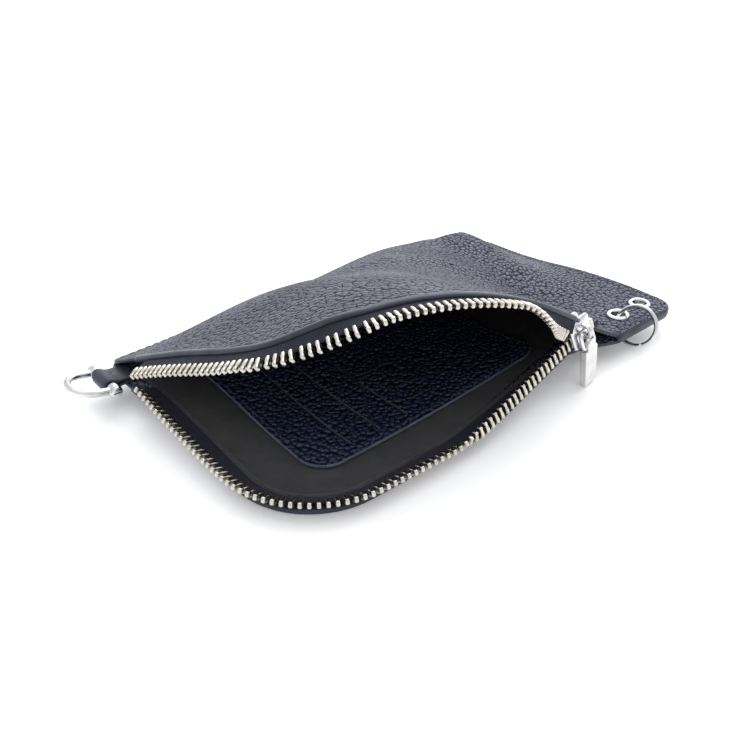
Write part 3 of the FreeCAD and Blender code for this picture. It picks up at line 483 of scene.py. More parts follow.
# The dark tone of the card panel leather is the painted shade in the creases between its cells.
card_leather = pebbled_leather("card_panel_leather", (0.006, 0.008, 0.019), (0.036, 0.048, 0.114), 56.0, 0.0011, 0.36)
raw_edge = smooth_leather("card_raw_edge", (0.10, 0.12, 0.16), (0.17, 0.19, 0.24), 0.55)
slits = [cut_line(oblong(x, SLOT_NEAR, x + SLOT_OPENING, SLOT_FAR, 0.3), 1.5) for x in SLOTS]
card_panel = cut_piece("card_panel_leather_piece", cut_line(CARD_CUT), slits, 2.0, lambda x, y: bent(x, y, CARD_TOP))
dress(card_panel, card_leather, "grained_leather", "pouch", "card_panel").data.materials.append(raw_edge)
thicken(card_panel, CARD_LEATHER, -1, 0.25)
navy_thread = thread("navy_thread", (0.020, 0.024, 0.045), (0.055, 0.062, 0.10))
SEAM_IN, CARD_STITCH = 1.6, (2.6, 2.0, 0.24)
card_seam = cut_line(oblong(CARD_LEFT + SEAM_IN, CARD_NEAR + SEAM_IN, CARD_LEFT + CARD_LENGTH - SEAM_IN,
                            CARD_NEAR + CARD_WIDTH - SEAM_IN, 7.4))
card_stitches = stitch_row("card_panel_stitches", [bent(p.x, p.y, CARD_TOP) for p in card_seam + card_seam[:1]],
                           straight_up, *CARD_STITCH)
dress(card_stitches, navy_thread, "lining", "pouch")


def with_ways(line):
    """Points of a flat line, each with the way on from it."""
    line = [Vector(spot) for spot in line]
    last = len(line) - 1
    return [(spot, (line[min(k + 1, last)] - line[max(k - 1, 0)]).normalized()) for k, spot in enumerate(line)]


def edge_profile(line, profile):
    """Rows of one profile, given outward and up, along a flat line on the bottom panel."""
    return [[bent(spot.x + way.y * out, spot.y - way.x * out, height) for out, height in profile]
            for spot, way in with_ways(line)]


def pressed_ridge(name, spots):
    """Fine raised line pressed into the card panel."""
    rise = ((0.45, -0.1), (0.2, 0.13), (0, 0.19), (-0.2, 0.13), (-0.45, -0.1))
    rows = edge_profile(spots, [(out, CARD_TOP + up) for out, up in rise])
    ridge = skin(name, [rows], ring=False)
    curve = ridge.modifiers.new("smooth", "SUBSURF")
    curve.levels = curve.render_levels = 2
    return settle(dress(ridge, edge_paint, "grained_leather", "pouch"))


pressed_ridge("card_pressed_line", PRESSED_LINE)
pressed_ridge("card_pressed_branch", PRESSED_BRANCH)

# Zip half on the bottom panel: a navy twill tape sewn in behind the edge, which stands up in a
# curve and carries a row of nickel teeth clamped on its corded rim.
ZIP_START, CHAIN_END, CHAIN_END_SIDE, CHAIN_OUTSET = 80.0, 118.5, 3.0, 3.4
CHAIN_SIDE = MOUTH_INSET - CHAIN_OUTSET
CHAIN_HEIGHT, CHAIN_START_HEIGHT, CHAIN_END_HEIGHT, CHAIN_START_POWER = 6.2, 11.0, 18.0, 1.5
TOOTH_PITCH, TOOTH_LENGTH = 2.45, 4.0
LOWER_LEAN, LOWER_LEAN_START, LEAN_RUN, TAPE_TAIL = 25.0, 45.0, 30.0, 12.0
TAPE_KNEE, TAPE_KNEE_FREE, TAPE_KNEE_RUN = 5.2, 3.3, 12.0
CHAIN_LINE = cut_line([(CHAIN_SIDE, ZIP_START), (CHAIN_SIDE, CHAIN_SIDE, CORNER_RADIUS + CHAIN_OUTSET),
                       (BOW_ALONG, CHAIN_SIDE - BOW_DEPTH, BOW_RADIUS), (CHAIN_END, CHAIN_END_SIDE)], 0.5, closed=False)
CHAIN_MARKS = measured(CHAIN_LINE)
chain_length = CHAIN_MARKS[-1]


def eased(share):
    """Smooth step from 0 to 1."""
    share = min(max(share, 0), 1)
    return share * share * (3 - 2 * share)


def along(line, marks, distance):
    """Point of a flat line at one distance, and the way out of the pouch there."""
    i = int(np.searchsorted(marks, min(max(distance, 0), marks[-1]), "right")) - 1
    i = min(max(i, 0), len(line) - 2)
    share = min(max((distance - marks[i]) / (marks[i + 1] - marks[i]), 0), 1)
    spot = line[i].lerp(line[i + 1], share)
    way = (line[min(i + 2, len(line) - 1)] - line[max(i - 1, 0)]).normalized()
    return Vector((spot.x, spot.y, 0)), Vector((way.y, -way.x, 0))


short_run = ZIP_START - CHAIN_SIDE - (CORNER_RADIUS + CHAIN_OUTSET)
end_rise = CHAIN_END_SIDE - CHAIN_SIDE + BOW_DEPTH
bow_turn = math.atan2(BOW_DEPTH, BOW_ALONG - CHAIN_SIDE) + math.atan2(end_rise, CHAIN_END - BOW_ALONG)
bow_middle = chain_length - math.hypot(CHAIN_END - BOW_ALONG, end_rise)
bow_start, bow_end = bow_middle - BOW_RADIUS * bow_turn / 2, bow_middle + BOW_RADIUS * bow_turn / 2


def lower_chain(distance):
    """Middle of the chain on the bottom panel, raised at both ends of the zip."""
    if distance < 0 or distance > chain_length:
        near = min(max(distance, 1), chain_length - 1)
        step = 1 if distance > near else -1
        return lower_chain(near) + (lower_chain(near + step) - lower_chain(near)) * abs(distance - near)
    level = CHAIN_HEIGHT
    slope = (CHAIN_END_HEIGHT - CHAIN_HEIGHT) / (chain_length - (bow_start + bow_end) / 2)
    if distance < short_run:
        level += (CHAIN_START_HEIGHT - CHAIN_HEIGHT) * (1 - distance / short_run) ** CHAIN_START_POWER
    if distance > bow_end:
        level += slope * (distance - (bow_start + bow_end) / 2)
    elif distance > bow_start:
        level += slope * (distance - bow_start) ** 2 / (2 * (bow_end - bow_start))
    return along(CHAIN_LINE, CHAIN_MARKS, distance)[0] + Vector((0, 0, level))


SLIDER_TILT = math.radians(16)
run_way = (lower_chain(chain_length) - lower_chain(bow_end + 1)).normalized()
outer_way = Vector((0, -math.cos(SLIDER_TILT), math.sin(SLIDER_TILT)))
outer_way = (outer_way - run_way * outer_way.dot(run_way)).normalized()
upper_way = outer_way.cross(run_way)


def lean(distance):
    """Way from the root of the lower tape to its teeth."""
    outward = along(CHAIN_LINE, CHAIN_MARKS, min(max(distance, 0), chain_length))[1]
    angle = math.radians(LOWER_LEAN + (LOWER_LEAN_START - LOWER_LEAN) * (1 - eased(distance / LEAN_RUN)))
    free = outward * math.cos(angle) + UP * math.sin(angle)
    turn = eased((distance - bow_start) / (bow_end - bow_start))
    return (free * (1 - turn) + upper_way * turn).normalized()


def lower_strip(distance, share):
    """Lower tape from its seam on the bottom panel up to the teeth."""
    outward = along(CHAIN_LINE, CHAIN_MARKS, distance)[1]
    middle = lower_chain(distance)
    seam = middle - outward * 6.4
    root = bent(seam.x, seam.y, LEATHER + 1.2)
    turn = eased((distance - bow_end) / TAPE_KNEE_RUN)
    knee = middle - lean(distance) * (TAPE_KNEE_FREE + (TAPE_KNEE - TAPE_KNEE_FREE) * turn)
    tip = middle - lean(distance) * (TOOTH_LENGTH / 2 - 0.6)
    return root * (1 - share) ** 2 + knee * (2 * share * (1 - share)) + tip * share ** 2


def twill_tape(name):
    """Zip tape of polyester twill: fine slanting ribs, matt, with painted shade making it nearly black between them."""
    material, tree, surface = new_finish(name, Sheen_Weight=0.05, Sheen_Roughness=0.5, Specular_IOR_Level=0.2)
    place = flat_place(tree)
    slant = node(tree, "ShaderNodeMapping", {"Vector": place, "Rotation": (0, 0, 0.35)}).outputs["Vector"]
    ribs = ribbed(tree, slant, 80.0, 0.4, "X", Detail=1.0)
    threads = ribbed(tree, place, 120.0, 0.5, "Y")
    # Painted shade: the tone goes nearly black in the hollows between the ribs, broken by a random mottle.
    share = figured(tree, "MULTIPLY", ribs, mottle(tree, place, 30.0, 3.0))
    tone = two_tone(tree, between(tree, share, 0, 0.6, 0, 1), (0.006, 0.007, 0.013), (0.024, 0.027, 0.046))
    coated(tree, surface, tone, between(tree, share, 0, 0.6, 0.85, 0.6),
           figured(tree, "MULTIPLY_ADD", threads, 0.35, ribs), 0.7, 0.00012)
    return material


def plated(name, dark, light, rough, brushed):
    """Plated metal with fine rub marks; a brushed one has marks along one way."""
    material, tree, surface = new_finish(name, Metallic=1.0)
    place = solid_place(tree)
    stretch = node(tree, "ShaderNodeMapping", {"Vector": place, "Scale": (1.0, 1.0, brushed)}).outputs["Vector"]
    marks = mottle(tree, stretch, 1500.0, 4.0)
    tone = two_tone(tree, between(tree, mottle(tree, place, 240.0, 3.0), 0.3, 0.7, 0, 1), dark, light)
    gloss = between(tree, marks, 0.25, 0.75, rough - 0.04, rough + 0.08)
    coated(tree, surface, tone, gloss, marks, 0.05, 0.00003)
    return material


def soft_square(count, wide_power, thick_power, start=0.0):
    """Points round a softened square section that reaches 1 each way."""
    section = []
    for j in range(count):
        turn = 2 * math.pi * (j + start) / count
        c, s = math.cos(turn), math.sin(turn)
        section.append((math.copysign(abs(c) ** wide_power, c), math.copysign(abs(s) ** thick_power, s)))
    return section


def tooth_shell(middle, way, side):
    """One zip tooth: clamped root, slim neck and a rounded head."""
    third = way.cross(side)
    rows = []
    for reach, width, thick in ((-2.0, 0.62, 1.5), (-1.9, 1.05, 2.15), (-1.5, 1.25, 2.4), (-0.4, 1.25, 2.4),
                                (0.2, 1.14, 2.15), (0.65, 1.0, 1.9), (1.05, 1.22, 1.95), (1.5, 1.28, 1.9),
                                (1.82, 1.0, 1.6), (1.97, 0.55, 1.0)):
        rows.append([middle + side * reach + way * (wide * width / 2) + third * (deep * thick / 2)
                     for wide, deep in soft_square(12, 0.55, 0.55, 0.5)])
    return rows


def teeth_row(name, chain, away, start, end):
    """Row of teeth at even steps along a chain."""
    shells = []
    distance = start
    while distance <= end:
        way = chain(distance + 0.2) - chain(distance - 0.2)
        stretch = way.length / 0.4
        way.normalize()
        side = away(distance)
        side = (side - way * side.dot(way)).normalized()
        shells.append(tooth_shell(chain(distance), way, side))
        distance += TOOTH_PITCH / stretch
    return skin(name, shells)


twill = twill_tape("navy_twill_tape")
nickel = plated("nickel_teeth", (0.54, 0.51, 0.44), (0.70, 0.67, 0.60), 0.24, 1.0)
lower_stops = [(chain_length + TAPE_TAIL) * k / 170 for k in range(171)]
lower_tape = skin("lower_twill_tape", [[[lower_strip(d, j / 8) for j in range(9)] for d in lower_stops]], ring=False,
                  pattern=(lower_stops, [1.2 * j for j in range(9)]))
thicken(dress(lower_tape, twill, "zip_tape", "pouch", "lower_zip_tape"), 0.5, 0, 0.12)
lower_teeth = teeth_row("lower_nickel_teeth", lower_chain, lean, TOOTH_PITCH, chain_length - TOOTH_PITCH / 2)
dress(lower_teeth, nickel, "nickel", "pouch", "lower_zip_teeth")

# Folded edge of the bottom panel along the zip: a narrow strip of smooth leather turned round the
# cut edge and glued down, with the hem of the lining on its inner side.
binding_leather = smooth_leather("navy_turned_edge", (0.030, 0.034, 0.052), (0.050, 0.055, 0.080), 0.38)
EDGE_LINE = cut_line(BOTTOM_CUT, 1.0)
EDGE_LINE = [p for p in EDGE_LINE if p.x < 128 and p.y < 86 and not (p.y > 40 and p.x > 40)]
lower_roll = edge_profile(EDGE_LINE, ((-2.6, 0.02), (-1.0, 0.02), (0.25, 0.05), (0.62, 0.45), (0.66, 0.9),
                                      (0.40, 1.45), (-0.4, 1.85), (-1.8, 1.75), (-2.6, 1.35)))
dress(skin("lower_turned_edge", [lower_roll]), binding_leather, "smooth_leather", "pouch", "lower_edge_binding")
hem_rows = []
for distance in [2.0 + k * 1.5 for k in range(int((chain_length - 6) / 1.5))]:
    spot, outward = along(CHAIN_LINE, CHAIN_MARKS, distance)
    row = []
    for inset, rise in ((6.2, 0.0), (6.5, 0.5), (7.2, 0.75), (8.0, 0.7), (8.7, 0.45), (9.0, -0.15)):
        place = spot - outward * inset
        row.append(bent(place.x, place.y, LINING_TOP + rise))
    hem_rows.append(row)
lining_hem = skin("lining_hem", [hem_rows], ring=False,
                  pattern=([1.5 * k for k in range(len(hem_rows))], [0.5 * j for j in range(6)]))
dress(lining_hem, charcoal, "lining", "pouch")

# Front panel: the pebbled front of the pouch, sewn to the back along the far side, the end and the
# tab.  At the zip corner it gapes, and the leather swells up, rolls over and folds down to the tab.
SEAM_CORE, MOUTH_RISE, RISE_POWER, RISE_HUMP = 1.2, 44.5, 1.3, 0.6
FALL_POWER_EDGE, FALL_POWER_BODY, FALL_REACH = 1.05, 2.2, 0.35
FILL_RISE, FILL_FROM, FILL_RUN, FILL_NEAR_RUN = 13.0, 52.0, 68.0, 62.0
FILL_FAR_RUN, FILL_END_RUN, FILL_SEAM = 13.0, 26.0, 0.8
DRAW_IN_LONG, DRAW_IN_SHORT, DRAW_POWER_LONG, DRAW_POWER_SHORT = 0.46, 0.42, 1.5, 2.0
MOUTH_CORNER = 24
FRONT_CUT = [(0.2, WIDTH - 0.2, 5), (0, 0, MOUTH_CORNER), (115, 0, 16), (125, 7, 9), (TAB_START, 1.5, 9),
             (LENGTH - 2.3, 1.5, 6.8), (LENGTH - 0.3, WIDTH - 0.3, 9.8)]


def front_point(x, y):
    """Underside of the front panel over a flat place."""
    far = min(max(x / TAB_START, 0), 1)
    back = min(max(y / WIDTH, 0), 1)
    power = FALL_POWER_EDGE + (FALL_POWER_BODY - FALL_POWER_EDGE) * eased(far / FALL_REACH)
    fill = FILL_RISE * eased((x - FILL_FROM) / FILL_RUN) * eased((y - TAB_DEPTH) / FILL_NEAR_RUN)
    fill *= eased((WIDTH - FILL_SEAM - y) / FILL_FAR_RUN) * eased((LENGTH - FILL_SEAM - x) / FILL_END_RUN)
    rise = MOUTH_RISE * (1 - far ** 2) ** RISE_POWER * (1 + RISE_HUMP * far) * (1 - back ** power) + fill
    inward = DRAW_IN_LONG * rise * (1 - far) ** DRAW_POWER_LONG
    backward = DRAW_IN_SHORT * rise * (1 - far) ** DRAW_POWER_SHORT * (1 - back)
    return bent(x, y, LEATHER + SEAM_CORE) + Vector((inward, backward, rise))


def front_normal(x, y):
    """Way out of the front panel at a flat place."""
    along_x = front_point(x + 0.2, y) - front_point(x - 0.2, y)
    along_y = front_point(x, y + 0.2) - front_point(x, y - 0.2)
    return along_x.cross(along_y).normalized()


# Soft folds of the front panel: start, end, half width and height.
FOLDS = [((86, 72), (118, 62), 6.0, 0.9), ((118, 62), (152, 59), 6.0, 0.9), ((138, 79), (152, 70), 8.0, -1.1),
         ((134, 88), (143, 88), 11.0, 1.5), ((161, 91), (163, 88), 7.0, -0.8), ((150, 14), (156, 30), 3.0, -0.5)]


def swell(x, y):
    """Soft folds of the leather between its seams and the mouth."""
    edge = min(eased(y / 14), eased((WIDTH - 4 - y) / 22), eased((TAB_START - x) / 26), eased((x + 2) / 14))
    height = 0.6 * edge * noise.noise(Vector((x * 0.030, y * 0.042, 5.2)))
    for first, last, width, rise in FOLDS:
        run = Vector((last[0] - first[0], last[1] - first[1]))
        off = Vector((x - first[0], y - first[1]))
        share = min(max(off.dot(run) / run.length_squared, 0), 1)
        height += rise * math.exp(-((off - run * share).length / width) ** 2)
    return height * eased((WIDTH - y) / 8) * eased((LENGTH - x) / 8)


def front_shape(x, y):
    """Underside of the front panel with its folds."""
    return front_point(x, y) + front_normal(x, y) * swell(x, y)


def across_hinge(piece):
    """Fixes the placement of a piece into its mesh."""
    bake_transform(piece)


def dress_flap(piece, material, slot, *nodes):
    """Gives a piece of the gaping front its finish and the nodes that it stands for."""
    piece.data.materials.append(material)
    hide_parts(*nodes)
    return piece


PATTERN_STEP = 2.0
lattice = np.array([[front_point(i * PATTERN_STEP, j * PATTERN_STEP) for j in range(53)] for i in range(91)])
lengths_along = np.cumsum(np.linalg.norm(np.diff(lattice, axis=0, prepend=lattice[:1]), axis=2), axis=0)
lengths_across = np.cumsum(np.linalg.norm(np.diff(lattice, axis=1, prepend=lattice[:, :1]), axis=2), axis=1)


def on_curve(spot):
    """Place of a flat spot on the leather, measured along its curves."""
    i, j = max(spot.x, 0) / PATTERN_STEP, max(spot.y, 0) / PATTERN_STEP
    a, b = min(int(i), 89), min(int(j), 51)
    s, t = i - a, j - b
    places = []
    for lengths in (lengths_along, lengths_across):
        near = lengths[a, b] * (1 - t) + lengths[a, b + 1] * t
        far = lengths[a + 1, b] * (1 - t) + lengths[a + 1, b + 1] * t
        places.append(near * (1 - s) + far * s)
    return Vector(places)


front_panel = cut_piece("front_panel", cut_line(FRONT_CUT, 1.0), [round_hole(spot, EYELET_HOLE) for spot in EYELETS],
                        1.8, front_shape, on_curve)
dress_flap(front_panel, grained, "grained_leather", "front_leather_rear", "front_leather_flap")
front_panel.data.materials.append(edge_paint)
thicken(front_panel, LEATHER, 1, EDGE_ROUNDING)
across_hinge(front_panel)
FRONT_LINING_CUT = [(5, 94, 3), (5, 5, 19), (112, 5, 14), (126, 14, 9), (TAB_START, 24.5, 4), (170.5, 24.5, 2),
                    (170.5, 94, 2)]
front_lining = cut_piece("front_lining_cloth", cut_line(FRONT_LINING_CUT), [], 2.6,
                         lambda x, y: front_shape(x, y) - front_normal(x, y) * (LAYER_GAP + LINING / 2))
dress_flap(front_lining, charcoal, "lining", "front_lining_rear", "front_lining_flap")
settle(front_lining)
across_hinge(front_lining)

# Turned edge of the front panel: a strip of smooth navy leather folded round the mouth edge, a
# shade lighter where the fold catches the light.
MOUTH_TOP = 94
MOUTH_LINE = cut_line([(0, MOUTH_TOP), (0, 0, MOUTH_CORNER), (124.5, 0)], 0.5, closed=False)
MOUTH_MARKS = measured(MOUTH_LINE)
mouth_start, mouth_end = 14.0, MOUTH_MARKS[-1] - 14.0


def front_edge(distance, depth=0.0):
    """Point of the front panel at one depth behind its mouth edge, with the panel's way out there."""
    spot, outward = along(MOUTH_LINE, MOUTH_MARKS, distance)
    spot = spot - outward * depth
    return front_shape(spot.x, spot.y), front_normal(spot.x, spot.y)


roll_rows = []
roll_stops = [mouth_start - 6 + (mouth_end - mouth_start + 8) * k / 190 for k in range(191)]
for distance in roll_stops:
    row = []
    for depth, height in ((2.3, LEATHER - 0.15), (2.2, LEATHER + 0.18), (2.0, LEATHER + 0.28), (1.0, LEATHER + 0.3),
                          (0.25, LEATHER + 0.2), (-0.22, LEATHER - 0.15), (-0.34, LEATHER / 2), (-0.22, 0.1),
                          (0.25, -0.25), (1.2, -0.4), (2.9, -0.3)):
        spot, normal = front_edge(distance, depth)
        row.append(spot + normal * height)
    roll_rows.append(row)
mouth_binding = skin("mouth_turned_edge", [roll_rows])
dress_flap(mouth_binding, binding_leather, "smooth_leather", "front_binding")
across_hinge(mouth_binding)

# Zip half on the front panel: the same twill tape, sewn under the turned edge, with its row of
# nickel teeth hanging into the mouth and running on into the slider.
HANG_SHORT_SIDE, HANG_LONG_SIDE, HANG_AT_SLIDER, HANG_RUN, TAPE_DROP = 24.0, -8.0, 95.0, 33.0, 6.5
arc_start = MOUTH_TOP - MOUTH_CORNER
arc_end = arc_start + MOUTH_CORNER * math.pi / 2


def hang(distance):
    """Way from the mouth edge to the teeth: lower on the short side and at the slider."""
    outward = along(MOUTH_LINE, MOUTH_MARKS, distance)[1]
    turned = eased((distance - (arc_start + arc_end) / 2) / ((arc_end - arc_start) / 2))
    drawn = eased((distance - mouth_end) / HANG_RUN + 1)
    angle = HANG_SHORT_SIDE + (HANG_LONG_SIDE - HANG_SHORT_SIDE) * turned
    angle = math.radians(angle + (HANG_AT_SLIDER - HANG_LONG_SIDE) * drawn)
    return outward * math.cos(angle) - UP * math.sin(angle)


def upper_chain(distance):
    """Middle of the chain on the front panel."""
    return front_edge(distance)[0] + hang(distance) * TAPE_DROP


upper_rows = []
upper_stops = [mouth_start + (mouth_end + 1.5 - mouth_start) * k / 170 for k in range(171)]
for distance in upper_stops:
    tucked, normal = front_edge(distance, 2.6)
    edge = front_edge(distance)[0]
    row = [tucked - normal * 0.35, front_edge(distance, 1.2)[0] - normal * 0.5]
    row += [edge + hang(distance) * reach for reach in (0.6, 1.5, 2.4, 3.3, 4.2, 5.1)]
    upper_rows.append(row)
upper_tape = skin("upper_twill_tape", [upper_rows], ring=False, pattern=(upper_stops, [1.1 * j for j in range(8)]))
dress_flap(upper_tape, twill, "zip_tape", "upper_zip_tape", "upper_zip_end_tape")
thicken(upper_tape, 0.5, 0, 0.12)
across_hinge(upper_tape)
upper_teeth = teeth_row("upper_nickel_teeth", upper_chain, hang, mouth_start + TOOTH_PITCH, mouth_end - 1.25)
dress_flap(upper_teeth, nickel, "nickel", "upper_zip_teeth", "upper_zip_end_teeth")
across_hinge(upper_teeth)

# Sewn and painted edge: along the far side, the end and the tab both leathers are glued over a
# filler, stitched, sanded round together and painted navy.
TAB_THICKNESS = 2 * LEATHER + SEAM_CORE
sewn_line = cut_line(BOTTOM_CUT, 1.0)
sewn_line = [p for p in sewn_line if p.y > 96.5 or p.x > 141]
turn_at = next(i for i, p in enumerate(sewn_line) if p.x > 141 and p.y < 50)
sewn_line = sewn_line[turn_at:] + sewn_line[:turn_at]
edge_rows = edge_profile(sewn_line, ((-5.0, 1.2), (-0.5, 0.3), (0.02, 0.5), (0.16, 1.0), (0.2, 1.9), (0.16, 2.8),
                                     (0.0, 3.3), (-0.5, 3.5), (-5.0, 2.6)))
dress(skin("sewn_painted_edge", [edge_rows]), edge_paint, "edge_core", "pouch", "seam_core")


def seam_path(inset):
    """Line of the edge stitching at one inset."""
    path = []
    for k, spot in enumerate(sewn_line[2:-3]):
        way = (sewn_line[k + 4] - sewn_line[k]).normalized()
        path.append(Vector((spot.x - way.y * inset, spot.y + way.x * inset)))
    return path


EDGE_SEAM_IN, EDGE_PITCH, EDGE_STITCH = 2.3, 3.0, 2.3
top_seam = [front_shape(p.x, p.y) + front_normal(p.x, p.y) * (LEATHER - 0.02) for p in seam_path(EDGE_SEAM_IN)]
under_seam = [bent(p.x, p.y, 0.24) for p in seam_path(EDGE_SEAM_IN)]
edge_stitches = stitch_row("edge_stitches_top", top_seam, straight_up, EDGE_PITCH, EDGE_STITCH, 0.22)
dress(edge_stitches, navy_thread, "edge_core", "pouch")
under_stitches = stitch_row("edge_stitches_under", under_seam, lambda spot: -UP, EDGE_PITCH, EDGE_STITCH, 0.2)
dress(under_stitches, navy_thread, "edge_core", "pouch")

# Slider: a cast and polished zip slider with two plates on a wedge post, rolled side flanges and
# an arched bail for the pull.
SLIDER_LENGTH, SLIDER_WIDTH, SLIDER_REAR, SLIDER_GAP, SLIDER_PLATE = 10.6, 9.8, 8.4, 3.0, 1.0
slider_origin = lower_chain(chain_length) - run_way * (SLIDER_LENGTH / 2) + upper_way * 2.0


def at_slider(x, y, z):
    """Point given along the chain, towards the upper row and outward from the slider."""
    return slider_origin + run_way * x + upper_way * y + outer_way * z


def slider_plate(low, high, dome):
    """Rows of one plate: a rounded outline, bevelled at its rims and slightly domed."""
    half = [(0, SLIDER_WIDTH / 2, 1.6), (7.1, SLIDER_WIDTH / 2, 2.5), (SLIDER_LENGTH, SLIDER_REAR / 2, 1.6)]
    outline = cut_line([(x, -y, corner) for x, y, corner in half] + half[::-1], 0.5)
    middle = Vector((SLIDER_LENGTH / 2, 0))
    rows = []
    for share, height in ((0.05, low), (0.93, low), (0.98, low + 0.1), (1.0, low + 0.35), (1.0, high - 0.35),
                          (0.97, high - 0.1), (0.90, high), (0.6, high + dome * 0.65), (0.3, high + dome * 0.92),
                          (0.02, high + dome)):
        rows.append([at_slider(*(middle + (p - middle) * share), height) for p in outline])
    return rows


def crisp(piece):
    """Keeps the flats of a metal piece flat up to its rounded edges."""
    piece.modifiers.new("flats", "WEIGHTED_NORMAL").weight = 90
    return settle(piece)


def rounded_bar(origin, first, second, third, size, rounding):
    """Rows of a bar with rounded edges, drawn along its third way."""
    wide, deep, bend = size[0] / 2, size[1] / 2, rounding * 0.8
    outline = cut_line(oblong(-wide, -deep, wide, deep, bend), 0.25)
    levels = []
    for turn in (0, 30, 60, 90):
        drop = rounding * (1 - math.sin(math.radians(turn)))
        levels.append((-size[2] / 2 + rounding * (1 - math.cos(math.radians(turn))), drop))
    levels += [(-level, drop) for level, drop in reversed(levels)]
    rows = []
    for level, give in levels:
        across, through = 1 - give / wide, 1 - give / deep
        rows.append([origin + first * (p.x * across) + second * (p.y * through) + third * level for p in outline])
    return rows


def rod(path, radius, closed=False, count=14):
    """Rows of a round wire along a path."""
    rows = []
    total = len(path)
    side = None
    for k, spot in enumerate(path):
        after = path[(k + 1) % total] if closed or k < total - 1 else path[k]
        before = path[k - 1] if closed or k > 0 else path[k]
        way = (after - before).normalized()
        if side is None:
            side = way.orthogonal().normalized()
        side = (side - way * side.dot(way)).normalized()
        lift = way.cross(side)
        turns = [2 * math.pi * j / count for j in range(count)]
        rows.append([spot + (side * math.cos(a) + lift * math.sin(a)) * radius for a in turns])
    return rows


chrome = plated("polished_chrome", (0.56, 0.56, 0.57), (0.72, 0.72, 0.73), 0.13, 1.0)
half_gap = SLIDER_GAP / 2
slider_shells = [slider_plate(half_gap, half_gap + SLIDER_PLATE, 0.25)]
under_plate = []
for row in slider_shells[0]:
    offs = [p - slider_origin for p in row]
    under_plate.append([slider_origin + run_way * p.dot(run_way) + upper_way * p.dot(upper_way)
                        - outer_way * p.dot(outer_way) for p in offs])
slider_shells.append(under_plate)
for side in (-1, 1):
    for face in (-1, 1):
        flange = at_slider(3.6, side * (SLIDER_WIDTH / 2 - 0.4), face * 1.35)
        slider_shells.append(rounded_bar(flange, run_way, outer_way, upper_way, (6.0, 1.1, 0.8), 0.3))
post_size = (2.6, 1.4, SLIDER_GAP + 0.6)
slider_shells.append(rounded_bar(at_slider(2.3, 1.0, 0), run_way, upper_way, outer_way, post_size, 0.3))
slider_body = skin("slider_casting", slider_shells)
crisp(dress(slider_body, chrome, "polished_metal", "slider", "slider_body"))
plate_top = half_gap + SLIDER_PLATE
BAIL_SPAN, BAIL_OPENING, BAIL_WIRE, BAIL_HALF_WIDTH = 5.8, 2.6, 1.1, 0.75
arch = []
for k in range(25):
    turn = math.pi * k / 24
    reach = -math.cos(turn) * (BAIL_SPAN - BAIL_WIRE) / 2
    rise = plate_top - 0.2 + (BAIL_OPENING + BAIL_WIRE / 2 + 0.2) * math.sin(turn) ** 0.55
    arch.append((reach, rise))
bail_rows = []
for spot, way in with_ways(arch):
    row = []
    for wide, thick in soft_square(14, 0.6, 0.6):
        off = spot + way.orthogonal() * (thick * BAIL_WIRE / 2)
        row.append(at_slider(SLIDER_LENGTH / 2 + wide * BAIL_HALF_WIDTH, off.x, off.y))
    bail_rows.append(row)
dress(skin("slider_arched_bail", [bail_rows]), chrome, "polished_metal", "slider", "slider_bail")
stop_place = at_slider(SLIDER_LENGTH + 0.5 + 1.3, -2.0, 0)
stop_bar = rounded_bar(stop_place, run_way, outer_way, upper_way, (2.6, 2.4, 4.0), 0.5)
crisp(dress(skin("zip_stop_clamp", [stop_bar]), nickel, "nickel", "pouch", "zip_stop"))

# Pull: a wire link through the bail and a plain rectangular bar that hangs on it, satin on its
# faces and left bare.
LINK_WIRE, LINK_WIDTH, LINK_DROP = 1.3, 7.6, 5.2
link_axis = at_slider(SLIDER_LENGTH / 2, 0, plate_top + BAIL_OPENING / 2)
half_link = (LINK_WIDTH - LINK_WIRE) / 2
link_corners = oblong(-half_link, -LINK_DROP, half_link, 0, 0.9)
link_line = cut_line(link_corners[3:] + link_corners[:3], 0.3)
link_path = [link_axis + run_way * p.x + upper_way * p.y for p in link_line]
wire_link = skin("pull_wire_link", [rod(link_path, LINK_WIRE / 2, True)], loop=True)
dress(wire_link, chrome, "polished_metal", "pull_link", "pull_link")
satin = plated("satin_pull", (0.66, 0.65, 0.63), (0.80, 0.79, 0.77), 0.3, 0.08)
PULL_WIDTH, PULL_HEAD_WIDTH, PULL_THICKNESS, PULL_LENGTH = 6.8, 4.4, 2.4, 15.6
PULL_SHOULDER, PULL_HEAD, PULL_LAP, PULL_ROUNDING = 1.0, 1.6, 1.0, 0.35
pin_axis = link_axis - upper_way * LINK_DROP
hang_way = (UP - run_way * UP.dot(run_way)).normalized()
bar_face = run_way.cross(hang_way)
bar_middle = pin_axis - hang_way * ((PULL_LENGTH + PULL_SHOULDER) / 2)
head_middle = pin_axis + hang_way * ((PULL_HEAD - PULL_SHOULDER - PULL_LAP) / 2)
bar_size = (PULL_WIDTH, PULL_THICKNESS, PULL_LENGTH - PULL_SHOULDER)
head_size = (PULL_HEAD_WIDTH, PULL_THICKNESS, PULL_HEAD + PULL_SHOULDER + PULL_LAP)
bar_shells = [rounded_bar(middle, run_way, bar_face, hang_way, size, PULL_ROUNDING)
              for middle, size in ((bar_middle, bar_size), (head_middle, head_size))]
crisp(dress(skin("pull_bar_blank", bar_shells), satin, "polished_metal", "pull_bar", "pull_bar"))

